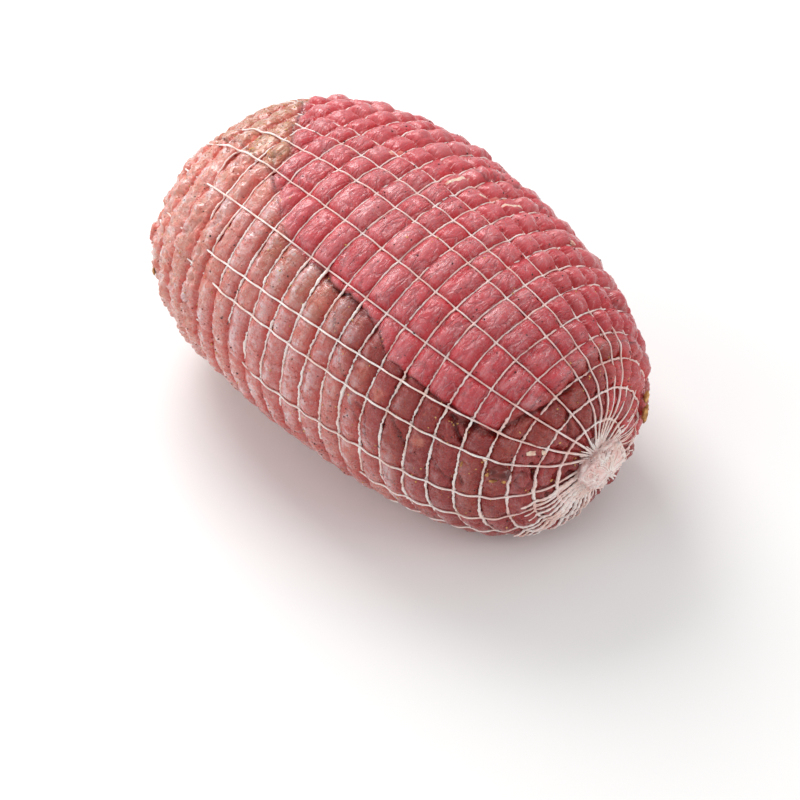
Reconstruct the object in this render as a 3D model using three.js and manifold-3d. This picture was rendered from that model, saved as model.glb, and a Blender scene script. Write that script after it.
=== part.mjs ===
// A mixed meat rolled roast: four pieces of raw meat pressed into one roll by a tight elastic net,
// which is gathered into a tuft at each end. Millimetres, +Z up, +X along the roll to its front end.
// The origin is on the surface that the roast lies on, under the middle of the roll.
import * as THREE from 'three';
import { mergeVertices } from 'three/addons/utils/BufferGeometryUtils.js';
import Module from 'manifold-3d';

const { sin, cos, abs, sqrt, hypot, min, max, PI } = Math;
const RADIANS = PI / 180;

// The roll: an egg-like body whose section is a superellipse, flattened where it rests
const HALF_LENGTH = 111;
const HALF_WIDTH = 74.4;
const HALF_HEIGHT = 62.7;
const WIDTH_ROUNDING = 0.266;
const HEIGHT_ROUNDING = 0.235;
const FRONT_TAPER = 0.066;
const SECTION_POWER = 2.14;
const AXIS_HEIGHT = 58.1;
const AXIS_FALL = 9.4;
const AXIS_BOW = 8.2;
const AXIS_TWIST = 6.1;
const AXIS_SIDE = 0.21;

// The net: rings round the roll and strands along it
const RING_COUNT = 26;
const FIRST_RING = 21.5;
const RING_PITCH = 10.5;
const RING_DRIFT = 1;
const RINGS_A_DRIFT = 17;
const DRIFT_START = 1.6;
const SHOWN_STRANDS = [45, 56, 67, 78, 86.8, 96.7, 110.7, 126.8, 144.7, 155, 178.7, 198];
const HIDDEN_STRANDS = 10;
const CORD_WIDTH = 1.1;
const CORD_TOP = 0.4;
const CORD_FOOT = 1.3;
const NET_FLOOR = 0.3;
const GATHER_RADIUS = 9;

// The relief that the net presses into the meat, as depths under the outermost level
const GROOVE_DEPTH = 3.4;
const GROOVE_DEPTH_BETWEEN = 3;
const STRAND_DEPTH = 2.2;
const PILLOW_DEPTH = 0;
const END_PILLOW_DEPTH = 1.7;
const SEAM_DEPTH = 3.2;
const END_DEPTH = 3.3;
const CAP_EDGE = 9.5;
const PILLOW_SIDE = [45, 126];
const REST_SIDE = [240, 304];
const REST_REACH = [-52, 66];
const REST_FLAT = 4;
const REST_MIDDLES = [0.3, 0.7];

// The tuft of gathered net at each end
const TUFT_BASE = 1.8;
const TUFT_REACH = 10;
const TUFT_DROOP = 3.5;
const TUFT_FLUTES = 12;
const TUFT_FLUTE_DEPTH = 0.9;
const TUFT_TALLER = 1.2;
const TUFT_TWIST = 0.35;
// Its outline: [share of its reach, radius]
const TUFT_OUTLINE = [[-0.15, 12], [0.04, 10.8], [0.26, 7.6], [0.5, 9.2], [0.74, 8.6], [0.92, 5.6]];

// Seams between the pieces, as places along the roll in mm and round it in degrees.
// 0 is the far side, 90 the top, 180 the near side and 270 the underside.
const HALF_GAP = 0.16;
const HALF_GAP_AT_AXIS = 0.5;
const MOST_SETBACK = 4;
const SEAM_RADIUS = 66;
const FAR_SEAM = -25;
const TOP_SEAM = [[-112, 104], [-78, 105.5], [-50, 111], [-25, 124], [-17, 127], [23, 130],
  [37, 133], [45, 139], [73, 142], [97.8, 143]];
const FRONT_SEAM = [[98.8, FAR_SEAM], [98, 60], [98.5, 84], [100.4, 107], [98.5, 120], [97.8, 143]];
const REAR_SEAM = [[-85, FAR_SEAM], [-85.5, 30], [-84, 67], [-71, 81], [-63, 91], [-52, 100], [-50, 111]];
const BROWN_SEAM = [[9.5, 128.9], [30, 150], [52, 178], [70, 205], [86, 245],
  [98.8, FAR_SEAM + 360]];
const UNDER_SEAM = [[-112, FAR_SEAM], [-85, FAR_SEAM], [98.8, FAR_SEAM]];
const AXIS_SHARE = 0.9;

const COLOURS = {
  meat_pale: 0xcf8f83,
  meat_seasoned: 0xc39a84,
  meat_red: 0xb83f4a,
  meat_brown: 0x8a4646,
  net: 0xe8d9d0,
};

const MEAT_ROUGHNESS = 0.35;
const NET_ROUGHNESS = 0.8;

// How finely curves are measured: steps along the outline, and the share of the half length and the
// degrees over which a slope is taken. Both stop just short of the ends, where the surface closes.
const OUTLINE_STEPS = 4000;
const SLOPE_SHARE = 0.001;
const SLOPE_DEGREES = 0.5;
const LAST_SLOPE = 0.9999;
const LAST_SEAM = 0.99999;
const SETBACK_ROUNDS = 400;
const THINNEST_WALL = 1e-6;
const SAME_PLACE = 1e-4;

// Body shape: t runs from -1 at the rear end to 1 at the front end

function widthAt(t) {
  return HALF_WIDTH * max(1 - t * t, 0) ** WIDTH_ROUNDING * (1 - FRONT_TAPER * t);
}

function heightAt(t) {
  return HALF_HEIGHT * max(1 - t * t, 0) ** HEIGHT_ROUNDING;
}

function axisHeightAt(t) {
  return AXIS_HEIGHT - AXIS_FALL * t - AXIS_BOW * t * t + AXIS_TWIST * t ** 3;
}

function bodyPoint(t, degrees) {
  const c = cos(degrees * RADIANS);
  const s = sin(degrees * RADIANS);
  const reach = (abs(c) ** SECTION_POWER + abs(s) ** SECTION_POWER) ** (-1 / SECTION_POWER);
  const y = widthAt(t) * c * reach;
  const z = axisHeightAt(t) + heightAt(t) * s * reach;
  return new THREE.Vector3(t * HALF_LENGTH, y, z);
}

// Direction into the meat, square to the surface
function inwardAt(t, degrees) {
  const inside = min(max(t, -LAST_SLOPE), LAST_SLOPE);
  const step = min(SLOPE_SHARE, (1 - abs(inside)) / 2);
  const along = bodyPoint(inside + step, degrees).sub(bodyPoint(inside - step, degrees));
  const before = bodyPoint(inside, degrees - SLOPE_DEGREES);
  const round = bodyPoint(inside, degrees + SLOPE_DEGREES).sub(before);
  return along.cross(round).normalize();
}

// A point at a depth under the outermost level, on the flattened body
function pointAt(place, degrees, depth, floor = 0) {
  const surface = bodyPoint(place, degrees);
  const inward = surface.z > 0 ? inwardAt(place, degrees) : new THREE.Vector3(0, 0, 1);
  surface.z = max(surface.z, 0);
  surface.addScaledVector(inward, depth);
  surface.z = max(surface.z, floor);
  return surface;
}

// Distances along the outline from the front end, so that rings keep an even pitch round the ends
const outline = [{ t: 1, arc: 0, x: HALF_LENGTH, radius: 0 }];
for (let i = 1; i <= OUTLINE_STEPS; i += 1) {
  const t = cos(PI * i / OUTLINE_STEPS);
  const x = t * HALF_LENGTH;
  const radius = sqrt(widthAt(t) * heightAt(t));
  const last = outline[i - 1];
  outline.push({ t, arc: last.arc + hypot(x - last.x, radius - last.radius), x, radius });
}
const OUTLINE_LENGTH = outline[OUTLINE_STEPS].arc;

function placeAtArc(arc) {
  const next = max(outline.findIndex((o) => o.arc >= arc), 1);
  const a = outline[next - 1];
  const b = outline[next];
  return THREE.MathUtils.mapLinear(arc, a.arc, b.arc, a.t, b.t);
}

function radiusAtArc(arc) {
  const t = placeAtArc(arc);
  return sqrt(widthAt(t) * heightAt(t));
}

// Where the rings and strands of the net lie
const ringArcs = Array.from({ length: RING_COUNT }, (_, i) => (
  FIRST_RING + RING_PITCH * i + RING_DRIFT * sin(2 * PI * (i - DRIFT_START) / RINGS_A_DRIFT)));
const hiddenStep = (360 - SHOWN_STRANDS.at(-1) + SHOWN_STRANDS[0]) / (HIDDEN_STRANDS + 1);
const strandAngles = [...SHOWN_STRANDS];
for (let i = 1; i <= HIDDEN_STRANDS; i += 1) {
  strandAngles.push(SHOWN_STRANDS.at(-1) + hiddenStep * i);
}

// A line's number in column "to" at the place where its number in column "from" has a value
function lineValue(line, from, to, value) {
  const last = line.length - 1;
  const rising = line[last][from] > line[0][from];
  for (let i = 0; i < last; i += 1) {
    const [a, b] = [line[i], line[i + 1]];
    if (rising ? value <= b[from] : value >= b[from]) {
      const share = min(max((value - a[from]) / (b[from] - a[from]), 0), 1);
      return a[to] + (b[to] - a[to]) * share;
    }
  }
  return line[last][to];
}

const unwound = (degrees) => ((degrees - FAR_SEAM) % 360 + 360) % 360 + FAR_SEAM;

// The piece of meat at a place on the surface
function ownerOf(x, degrees) {
  const round = unwound(degrees);
  if (round < lineValue(TOP_SEAM, 0, 1, x)) {
    if (x > lineValue(FRONT_SEAM, 1, 0, round)) return 'meat_brown';
    return x < lineValue(REAR_SEAM, 1, 0, round) ? 'meat_seasoned' : 'meat_red';
  }
  return x > lineValue(BROWN_SEAM, 1, 0, round) ? 'meat_brown' : 'meat_pale';
}

// The seam point nearest to a place, among all seams or, where three pieces meet, their ends
function nearestSeamPoint(x, degrees, endsOnly) {
  let best = { distance: Infinity };
  const scale = SEAM_RADIUS * RADIANS;
  for (const seam of [TOP_SEAM, FRONT_SEAM, REAR_SEAM, BROWN_SEAM, UNDER_SEAM]) {
    for (let i = 0; i + 1 < seam.length; i += 1) {
      for (const turn of [-360, 0, 360]) {
        const [ax, ay] = [seam[i][0], (seam[i][1] + turn) * scale];
        const [bx, by] = [seam[i + 1][0], (seam[i + 1][1] + turn) * scale];
        const along = (x - ax) * (bx - ax) + (degrees * scale - ay) * (by - ay);
        let share = min(max(along / ((bx - ax) ** 2 + (by - ay) ** 2), 0), 1);
        if (endsOnly) share = Math.round(share);
        const point = { x: ax + (bx - ax) * share, y: ay + (by - ay) * share };
        const distance = hypot(point.x - x, point.y - degrees * scale);
        const isEnd = (share === 0 && i === 0) || (share === 1 && i === seam.length - 2);
        if (distance < best.distance && (isEnd || !endsOnly)) {
          best = { distance, x: point.x, degrees: point.y / scale };
        }
      }
    }
  }
  return best;
}

// The meat's outer surface: a grid of rows across the roll and columns along it

function isBetween(value, range) {
  return value > range[0] && value < range[1];
}

// Columns follow the strands, with middles for pillows on top and flats underneath
function meatColumns() {
  const columns = [];
  strandAngles.forEach((angle, i) => {
    const next = i + 1 < strandAngles.length ? strandAngles[i + 1] : strandAngles[0] + 360;
    columns.push({ angle, kind: 'strand' });
    const middle = (angle + next) / 2;
    if (isBetween(middle, PILLOW_SIDE)) columns.push({ angle: middle, kind: 'pillow' });
    if (isBetween(middle, REST_SIDE)) {
      for (const share of REST_MIDDLES) {
        columns.push({ angle: angle + (next - angle) * share, kind: 'rest' });
      }
    }
  });
  return columns;
}

// Rows follow the rings, with a crest between two rings, and two where the roast rests
function meatRows() {
  const rows = [{ arc: CAP_EDGE, kind: 'edge' }, { arc: (CAP_EDGE + ringArcs[0]) / 2, kind: 'end' }];
  ringArcs.forEach((arc, i) => {
    rows.push({ arc, kind: 'groove' });
    if (i + 1 === RING_COUNT) return;
    const crest = (arc + ringArcs[i + 1]) / 2;
    const rests = isBetween(placeAtArc(crest) * HALF_LENGTH, REST_REACH);
    rows.push({ arc: crest, kind: 'crest', shift: rests ? -REST_FLAT / 2 : 0, rests });
    if (rests) rows.push({ arc: crest, kind: 'crest', shift: REST_FLAT / 2, rests, second: true });
  });
  const lastEdge = OUTLINE_LENGTH - CAP_EDGE;
  rows.push({ arc: (lastEdge + ringArcs.at(-1)) / 2, kind: 'end' }, { arc: lastEdge, kind: 'edge' });
  return rows;
}

function reliefDepth(row, column) {
  if (row.kind === 'edge') return END_DEPTH;
  if (column.kind === 'strand') return row.kind === 'groove' ? GROOVE_DEPTH : STRAND_DEPTH;
  if (row.kind === 'groove') return GROOVE_DEPTH_BETWEEN;
  return row.kind === 'end' ? END_PILLOW_DEPTH : PILLOW_DEPTH;
}

// Vertex numbers by row and column. Where nothing rests, a flat's middle columns fall together with
// the column before them, and where it does, the second crest row splits only those columns.
function meatGrid(rows, columns, vertices) {
  const grid = rows.map(() => []);
  rows.forEach((row, r) => {
    columns.forEach((column, c) => {
      const isMiddle = column.kind === 'rest';
      if (isMiddle && !row.rests) {
        grid[r][c] = grid[r][c - 1];
      } else if (row.second && !isMiddle) {
        grid[r][c] = grid[r - 1][c];
      } else {
        const t = placeAtArc(row.arc + (isMiddle ? row.shift : 0));
        grid[r][c] = vertices.push({ t, angle: column.angle, depth: reliefDepth(row, column) }) - 1;
      }
    });
  });
  return grid;
}

// Cells of the grid and of the two end caps, each with the piece that it belongs to
function meatCells(rows, columns, grid, poles) {
  const next = (c) => (c + 1) % columns.length;
  const middles = columns.map((column, c) => {
    const turn = next(c) === 0 ? 360 : 0;
    return (column.angle + columns[next(c)].angle + turn) / 2;
  });
  const cells = [];
  for (let r = 0; r + 1 < rows.length; r += 1) {
    const x = (placeAtArc(rows[r].arc) + placeAtArc(rows[r + 1].arc)) / 2 * HALF_LENGTH;
    columns.forEach((_, c) => {
      const corners = [grid[r][c], grid[r + 1][c], grid[r + 1][next(c)], grid[r][next(c)]];
      cells.push({ corners, owner: ownerOf(x, middles[c]) });
    });
  }
  const [front, rear] = [grid[0], grid.at(-1)];
  columns.forEach((_, c) => {
    const corners = [poles[0], front[c], front[next(c)]];
    cells.push({ corners, owner: ownerOf(HALF_LENGTH, middles[c]) });
  });
  columns.forEach((_, c) => {
    const corners = [rear[next(c)], rear[c], poles[1]];
    cells.push({ corners, owner: ownerOf(-HALF_LENGTH, middles[c]) });
  });
  return cells;
}

function buildMeat() {
  const rows = meatRows();
  const columns = meatColumns();
  const vertices = [];
  const grid = meatGrid(rows, columns, vertices);
  const poles = [1, -1].map((t) => vertices.push({ t, angle: 0, pole: true }) - 1);
  const made = { rows, vertices, grid, poles, cells: meatCells(rows, columns, grid, poles) };
  fitToSeams(made);
  placeVertices(made);
  return made;
}

// Vertices between pieces move onto the true seams
function fitToSeams(meat) {
  const owners = meat.vertices.map(() => new Set());
  for (const cell of meat.cells) {
    const distinct = new Set(cell.corners);
    if (distinct.size < 3) continue;
    for (const v of distinct) owners[v].add(cell.owner);
  }
  meat.vertices.forEach((vertex, v) => {
    if (vertex.pole || owners[v].size < 2) return;
    const seam = nearestSeamPoint(vertex.t * HALF_LENGTH, vertex.angle, owners[v].size > 2);
    vertex.t = min(max(seam.x / HALF_LENGTH, -LAST_SEAM), LAST_SEAM);
    vertex.angle = seam.degrees;
    vertex.depth = SEAM_DEPTH;
  });
}

function placeVertices(meat) {
  for (const vertex of meat.vertices) {
    if (vertex.pole) {
      const x = vertex.t * (HALF_LENGTH - END_DEPTH);
      vertex.point = new THREE.Vector3(x, 0, axisHeightAt(vertex.t));
    } else {
      vertex.point = pointAt(vertex.t, vertex.angle, vertex.depth);
    }
  }
}

function smallestAngle(points) {
  const angleAt = (a, b, c) => b.clone().sub(a).angleTo(c.clone().sub(a));
  const [a, b, c] = points;
  return min(angleAt(a, b, c), angleAt(b, c, a), angleAt(c, a, b));
}

// One or two triangles of a cell, split along the diagonal that leaves the wider angles
function cellTriangles(cell, vertices) {
  const corners = cell.corners.filter((v, i, all) => all.indexOf(v) === i);
  if (corners.length < 3) return [];
  if (corners.length === 3) return [corners];
  const [a, b, c, d] = corners;
  const splits = [[[a, b, c], [a, c, d]], [[a, b, d], [b, c, d]]];
  const quality = (split) => min(...split.map((tri) => (
    smallestAngle(tri.map((v) => vertices[v].point)))));
  return quality(splits[0]) >= quality(splits[1]) ? splits[0] : splits[1];
}

// Walls from the open edges of a piece's outer triangles to the roll's axis
function wallsToAxis(meat, triangles, axisStart) {
  const { grid, rows, poles } = meat;
  const rowOf = new Map([[poles[0], -1], [poles[1], rows.length]]);
  grid.forEach((row, r) => {
    row.forEach((v) => rowOf.set(v, rowOf.get(v) ?? r));
  });
  const axisOf = (v) => (poles.includes(v) ? v : axisStart + rowOf.get(v));
  const edges = new Map();
  for (const tri of triangles) {
    tri.forEach((a, i) => {
      const b = tri[(i + 1) % 3];
      edges.set(`${a} ${b}`, [a, b]);
    });
  }
  const walls = [];
  for (const [a, b] of edges.values()) {
    if (edges.has(`${b} ${a}`)) continue;
    const [axisA, axisB] = [axisOf(a), axisOf(b)];
    const pair = rowOf.get(b) >= rowOf.get(a)
      ? [[b, a, axisB], [a, axisA, axisB]]
      : [[b, a, axisA], [b, axisA, axisB]];
    walls.push(...pair.filter((tri) => new Set(tri).size === 3));
  }
  return walls;
}

// One piece of meat: its outer triangles, and walls from its seams to the roll's axis
function buildPiece(meat, owner) {
  const { vertices, rows } = meat;
  const triangles = meat.cells.filter((cell) => cell.owner === owner)
    .flatMap((cell) => cellTriangles(cell, vertices));
  const points = vertices.map((vertex) => vertex.point.clone());
  for (const row of rows) {
    const t = placeAtArc(row.arc) * AXIS_SHARE;
    points.push(new THREE.Vector3(t * HALF_LENGTH, 0, axisHeightAt(t)));
  }
  const walls = wallsToAxis(meat, triangles, vertices.length);
  setBackWalls(points, walls, vertices.length);
  return facetedSolid(points, [...triangles, ...walls]);
}

// Every vertex of a wall moves into its own piece, which leaves a narrow gap between pieces
function setBackWalls(points, walls, axisStart) {
  const normals = new Map();
  for (const tri of walls) {
    const [a, b, c] = tri.map((v) => points[v]);
    const normal = b.clone().sub(a).cross(c.clone().sub(a));
    if (normal.length() < THINNEST_WALL) continue;
    normal.normalize();
    for (const v of tri) {
      if (!normals.has(v)) normals.set(v, []);
      normals.get(v).push(normal);
    }
  }
  for (const [v, around] of normals) {
    const gap = v < axisStart ? HALF_GAP : HALF_GAP_AT_AXIS;
    const move = new THREE.Vector3();
    for (let round = 0; round < SETBACK_ROUNDS; round += 1) {
      for (const normal of around) {
        const short = normal.dot(move) + gap;
        if (short > 0) move.addScaledVector(normal, -short);
      }
    }
    points[v].add(move.clampLength(0, MOST_SETBACK));
  }
}

function facetedSolid(points, triangles) {
  const geometry = new THREE.BufferGeometry();
  const flat = triangles.flat().flatMap((v) => points[v].toArray());
  geometry.setAttribute('position', new THREE.Float32BufferAttribute(flat, 3));
  return mergeVertices(geometry, SAME_PLACE);
}

// The net: a lattice of cords with a three-cornered section, crossing at square knots

function buildLattice() {
  const rows = [GATHER_RADIUS, ...ringArcs, OUTLINE_LENGTH - GATHER_RADIUS];
  const points = [];
  const knots = rows.map((arc) => strandAngles.map((angle) => {
    const turn = CORD_WIDTH / 2 / radiusAtArc(arc) / RADIANS;
    const corner = (along, round) => {
      const t = placeAtArc(arc + along * CORD_WIDTH / 2);
      return points.push(pointAt(t, angle + round * turn, CORD_FOOT, NET_FLOOR)) - 1;
    };
    return {
      corners: [corner(-1, -1), corner(-1, 1), corner(1, 1), corner(1, -1)],
      top: points.push(pointAt(placeAtArc(arc), angle, CORD_TOP, NET_FLOOR)) - 1,
    };
  }));
  const triangles = [];
  const addQuad = (a, b, c, d) => triangles.push([a, b, c], [a, c, d]);
  const addMember = (near, far, topNear, topFar) => {
    addQuad(near[0], near[1], far[1], far[0]);
    addQuad(near[1], topNear, topFar, far[1]);
    addQuad(topNear, near[0], far[0], topFar);
  };
  knots.forEach((row, r) => row.forEach((knot, k) => {
    const beside = row[(k + 1) % row.length];
    addQuad(...knot.corners);
    addMember([knot.corners[2], knot.corners[1]], [beside.corners[3], beside.corners[0]],
      knot.top, beside.top);
    if (r + 1 < knots.length) {
      const after = knots[r + 1][k];
      addMember([knot.corners[3], knot.corners[2]], [after.corners[0], after.corners[1]],
        knot.top, after.top);
    } else {
      triangles.push([knot.corners[3], knot.corners[2], knot.top]);
    }
    if (r === 0) triangles.push([knot.corners[1], knot.corners[0], knot.top]);
  }));
  return facetedSolid(points, triangles);
}

function buildTuft(end) {
  const base = HALF_LENGTH - TUFT_BASE;
  const points = [];
  const sides = TUFT_FLUTES * 2;
  const centreAt = (share) => {
    const x = end * (base + max(share, 0) * (TUFT_REACH + TUFT_BASE));
    return new THREE.Vector3(x, 0, axisHeightAt(end) - TUFT_DROOP * max(share, 0));
  };
  TUFT_OUTLINE.forEach(([share, radius], ring) => {
    const centre = centreAt(share);
    for (let i = 0; i < sides; i += 1) {
      const angle = 2 * PI * (i + ring * TUFT_TWIST) / sides;
      const reach = radius + (i % 2 ? -TUFT_FLUTE_DEPTH : TUFT_FLUTE_DEPTH);
      points.push(centre.clone().add(
        new THREE.Vector3(0, reach * cos(angle), reach * sin(angle) * TUFT_TALLER)));
    }
  });
  const baseCentre = points.push(centreAt(0)) - 1;
  const tip = points.push(centreAt(1)) - 1;
  const triangles = [];
  const addFacing = (a, b, c) => triangles.push(end > 0 ? [a, b, c] : [a, c, b]);
  const last = TUFT_OUTLINE.length - 1;
  for (let i = 0; i < sides; i += 1) {
    const j = (i + 1) % sides;
    addFacing(baseCentre, j, i);
    addFacing(tip, last * sides + i, last * sides + j);
    for (let ring = 0; ring < last; ring += 1) {
      const [a, b] = [ring * sides + i, ring * sides + j];
      addFacing(a, b, b + sides);
      addFacing(a, b + sides, a + sides);
    }
  }
  return facetedSolid(points, triangles);
}

// Several closed bodies as one
async function joined(geometries) {
  const wasm = await Module();
  wasm.setup();
  const solids = geometries.map((geometry) => new wasm.Manifold(new wasm.Mesh({
    numProp: 3,
    vertProperties: new Float32Array(geometry.attributes.position.array),
    triVerts: new Uint32Array(geometry.index.array),
  })));
  const mesh = solids.reduce((whole, solid) => whole.add(solid)).getMesh();
  const result = new THREE.BufferGeometry();
  result.setAttribute('position', new THREE.BufferAttribute(mesh.vertProperties, 3));
  result.setIndex(new THREE.BufferAttribute(mesh.triVerts, 1));
  return result;
}

function finished(name, geometry, roughness) {
  const material = new THREE.MeshStandardMaterial({
    name, color: COLOURS[name], roughness, metalness: 0,
  });
  const mesh = new THREE.Mesh(geometry, material);
  mesh.name = name;
  return mesh;
}

const roast = new THREE.Group();
roast.name = 'rolled_roast';
roast.position.y = AXIS_SIDE;
const meat = buildMeat();
for (const name of ['meat_pale', 'meat_seasoned', 'meat_red', 'meat_brown']) {
  roast.add(finished(name, buildPiece(meat, name), MEAT_ROUGHNESS));
}
const net = await joined([buildLattice(), buildTuft(1), buildTuft(-1)]);
roast.add(finished('net', net, NET_ROUGHNESS));

export default roast;
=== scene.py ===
"""A mixed meat rolled roast in a tight elastic net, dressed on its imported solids.

Four pieces of raw meat are pressed into one roll: a pale one, a seasoned one, a red one and a brown
one. Rings and strands of white elastic net sink into them and are gathered into a tuft at each end.
Shapes are worked out in millimetres, with +X along the roll to its front end and +Z up, and become
metres when a mesh is made. Round the roll, 0 degrees is the far side, 90 the top, 180 the near side
and 270 the underside.
"""

from __future__ import annotations

import logging
import math
from dataclasses import dataclass, field
from enum import Enum
from functools import cached_property
from typing import Iterable, Sequence

import bpy
import numpy as np
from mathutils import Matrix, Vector


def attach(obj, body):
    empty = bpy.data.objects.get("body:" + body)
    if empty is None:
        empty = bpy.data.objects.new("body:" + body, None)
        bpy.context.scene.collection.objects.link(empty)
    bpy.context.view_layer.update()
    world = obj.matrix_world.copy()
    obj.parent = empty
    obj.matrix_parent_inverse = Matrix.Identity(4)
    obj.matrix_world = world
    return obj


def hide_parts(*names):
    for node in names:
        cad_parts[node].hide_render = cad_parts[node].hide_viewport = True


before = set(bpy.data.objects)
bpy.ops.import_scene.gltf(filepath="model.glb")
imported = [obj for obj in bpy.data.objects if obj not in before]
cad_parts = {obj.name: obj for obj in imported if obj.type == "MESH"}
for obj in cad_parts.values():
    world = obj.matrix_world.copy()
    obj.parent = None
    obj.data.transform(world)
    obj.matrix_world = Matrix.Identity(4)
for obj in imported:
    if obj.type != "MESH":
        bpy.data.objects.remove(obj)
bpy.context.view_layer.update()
LOG = logging.getLogger("rolled_roast")
METRES = 0.001
BODY = "root"
Array = np.ndarray
Colour = tuple[float, float, float, float]


def colour(code: str) -> Colour:
    """Turns a screen colour into the linear colour that materials use.

    Args:
        code: Six hexadecimal digits, red, green and blue.

    Returns:
        The linear colour with full opacity.
    """
    parts = [int(code[i : i + 2], 16) / 255 for i in (0, 2, 4)]
    linear = [p / 12.92 if p <= 0.04045 else ((p + 0.055) / 1.055) ** 2.4 for p in parts]
    return (linear[0], linear[1], linear[2], 1.0)


def soft_step(values: Array, low: float, high: float) -> Array:
    """Rises smoothly from 0 at low to 1 at high; falls if low is above high."""
    share = np.clip((values - low) / (high - low), 0, 1)
    return share * share * (3 - 2 * share)


def bell(values: Array, width: float) -> Array:
    """Is 1 at 0 and fades out over a width on both sides."""
    return np.exp(-((values / width) ** 2))


class Noise:
    """Smooth seeded noise in three dimensions, from about -1 to 1."""

    TABLE = 256
    LOUDNESS = 1.7

    def __init__(self, seed: int) -> None:
        """Draws the table of slopes from a seed."""
        random = np.random.default_rng(seed)
        self.order = np.tile(random.permutation(self.TABLE), 2)
        slopes = random.normal(size=(self.TABLE, 3))
        self.slopes = slopes / np.linalg.norm(slopes, axis=1)[:, None]

    def layer(self, points: Array) -> Array:
        """One octave of the noise at points of shape (n, 3)."""
        cell = np.floor(points).astype(int)
        inside = points - cell
        fade = inside**3 * (inside * (inside * 6 - 15) + 10)
        total = np.zeros(len(points))
        for corner in np.ndindex(2, 2, 2):
            offset = np.array(corner)
            key = (cell + offset) % self.TABLE
            pick = self.order[self.order[self.order[key[:, 0]] + key[:, 1]] + key[:, 2]]
            slope = ((inside - offset) * self.slopes[pick]).sum(axis=1)
            weight = np.where(offset == 1, fade, 1 - fade).prod(axis=1)
            total += slope * weight
        return total * self.LOUDNESS

    def at(self, points: Array, size: float, octaves: int = 1) -> Array:
        """Noise whose features have a size.

        Args:
            points: Places, of shape (n, 3).
            size: Size of the coarsest features, in the points' own unit.
            octaves: How many layers are added, each half as coarse and half as strong.

        Returns:
            One number for each point.
        """
        return sum(self.layer(points * (2**k / size) + 17 * k) / 2**k for k in range(octaves))


class Value:
    """A number's socket in a node tree, with Python's operators for its maths."""

    def __init__(self, graph: Graph, socket: bpy.types.NodeSocket) -> None:
        """Wraps a socket of a graph's node."""
        self.graph = graph
        self.socket = socket

    def maths(self, operation: str, first: Term, second: Term = 0.0, clamp: bool = False) -> Value:
        """Adds one Math node.

        Args:
            operation: Blender's name for the operation.
            first: The first number or socket.
            second: The second one, if the operation takes two.
            clamp: Whether the result is kept from 0 to 1.

        Returns:
            The result's socket.
        """
        settings = {"operation": operation, "use_clamp": clamp}
        return self.graph.value("ShaderNodeMath", settings, {0: first, 1: second})

    def __add__(self, other: Term) -> Value:
        """Adds a term."""
        return self.maths("ADD", self, other)

    __radd__ = __add__

    def __sub__(self, other: Term) -> Value:
        """Takes a term away."""
        return self.maths("SUBTRACT", self, other)

    def __rsub__(self, other: Term) -> Value:
        """Is taken away from a term."""
        return self.maths("SUBTRACT", other, self)

    def __mul__(self, other: Term) -> Value:
        """Multiplies by a term."""
        return self.maths("MULTIPLY", self, other)

    __rmul__ = __mul__

    def __pow__(self, other: Term) -> Value:
        """Raises to a power."""
        return self.maths("POWER", self, other)

    def clamped(self) -> Value:
        """The same number kept from 0 to 1."""
        return self.maths("ADD", self, 0.0, clamp=True)

    def between(self, low: float, high: float) -> Value:
        """Rises smoothly from 0 at low to 1 at high."""
        settings = {"interpolation_type": "SMOOTHSTEP"}
        return self.graph.value("ShaderNodeMapRange", settings, {0: self, 1: low, 2: high})


Term = Value | float
Link = Value | bpy.types.NodeSocket


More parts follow.
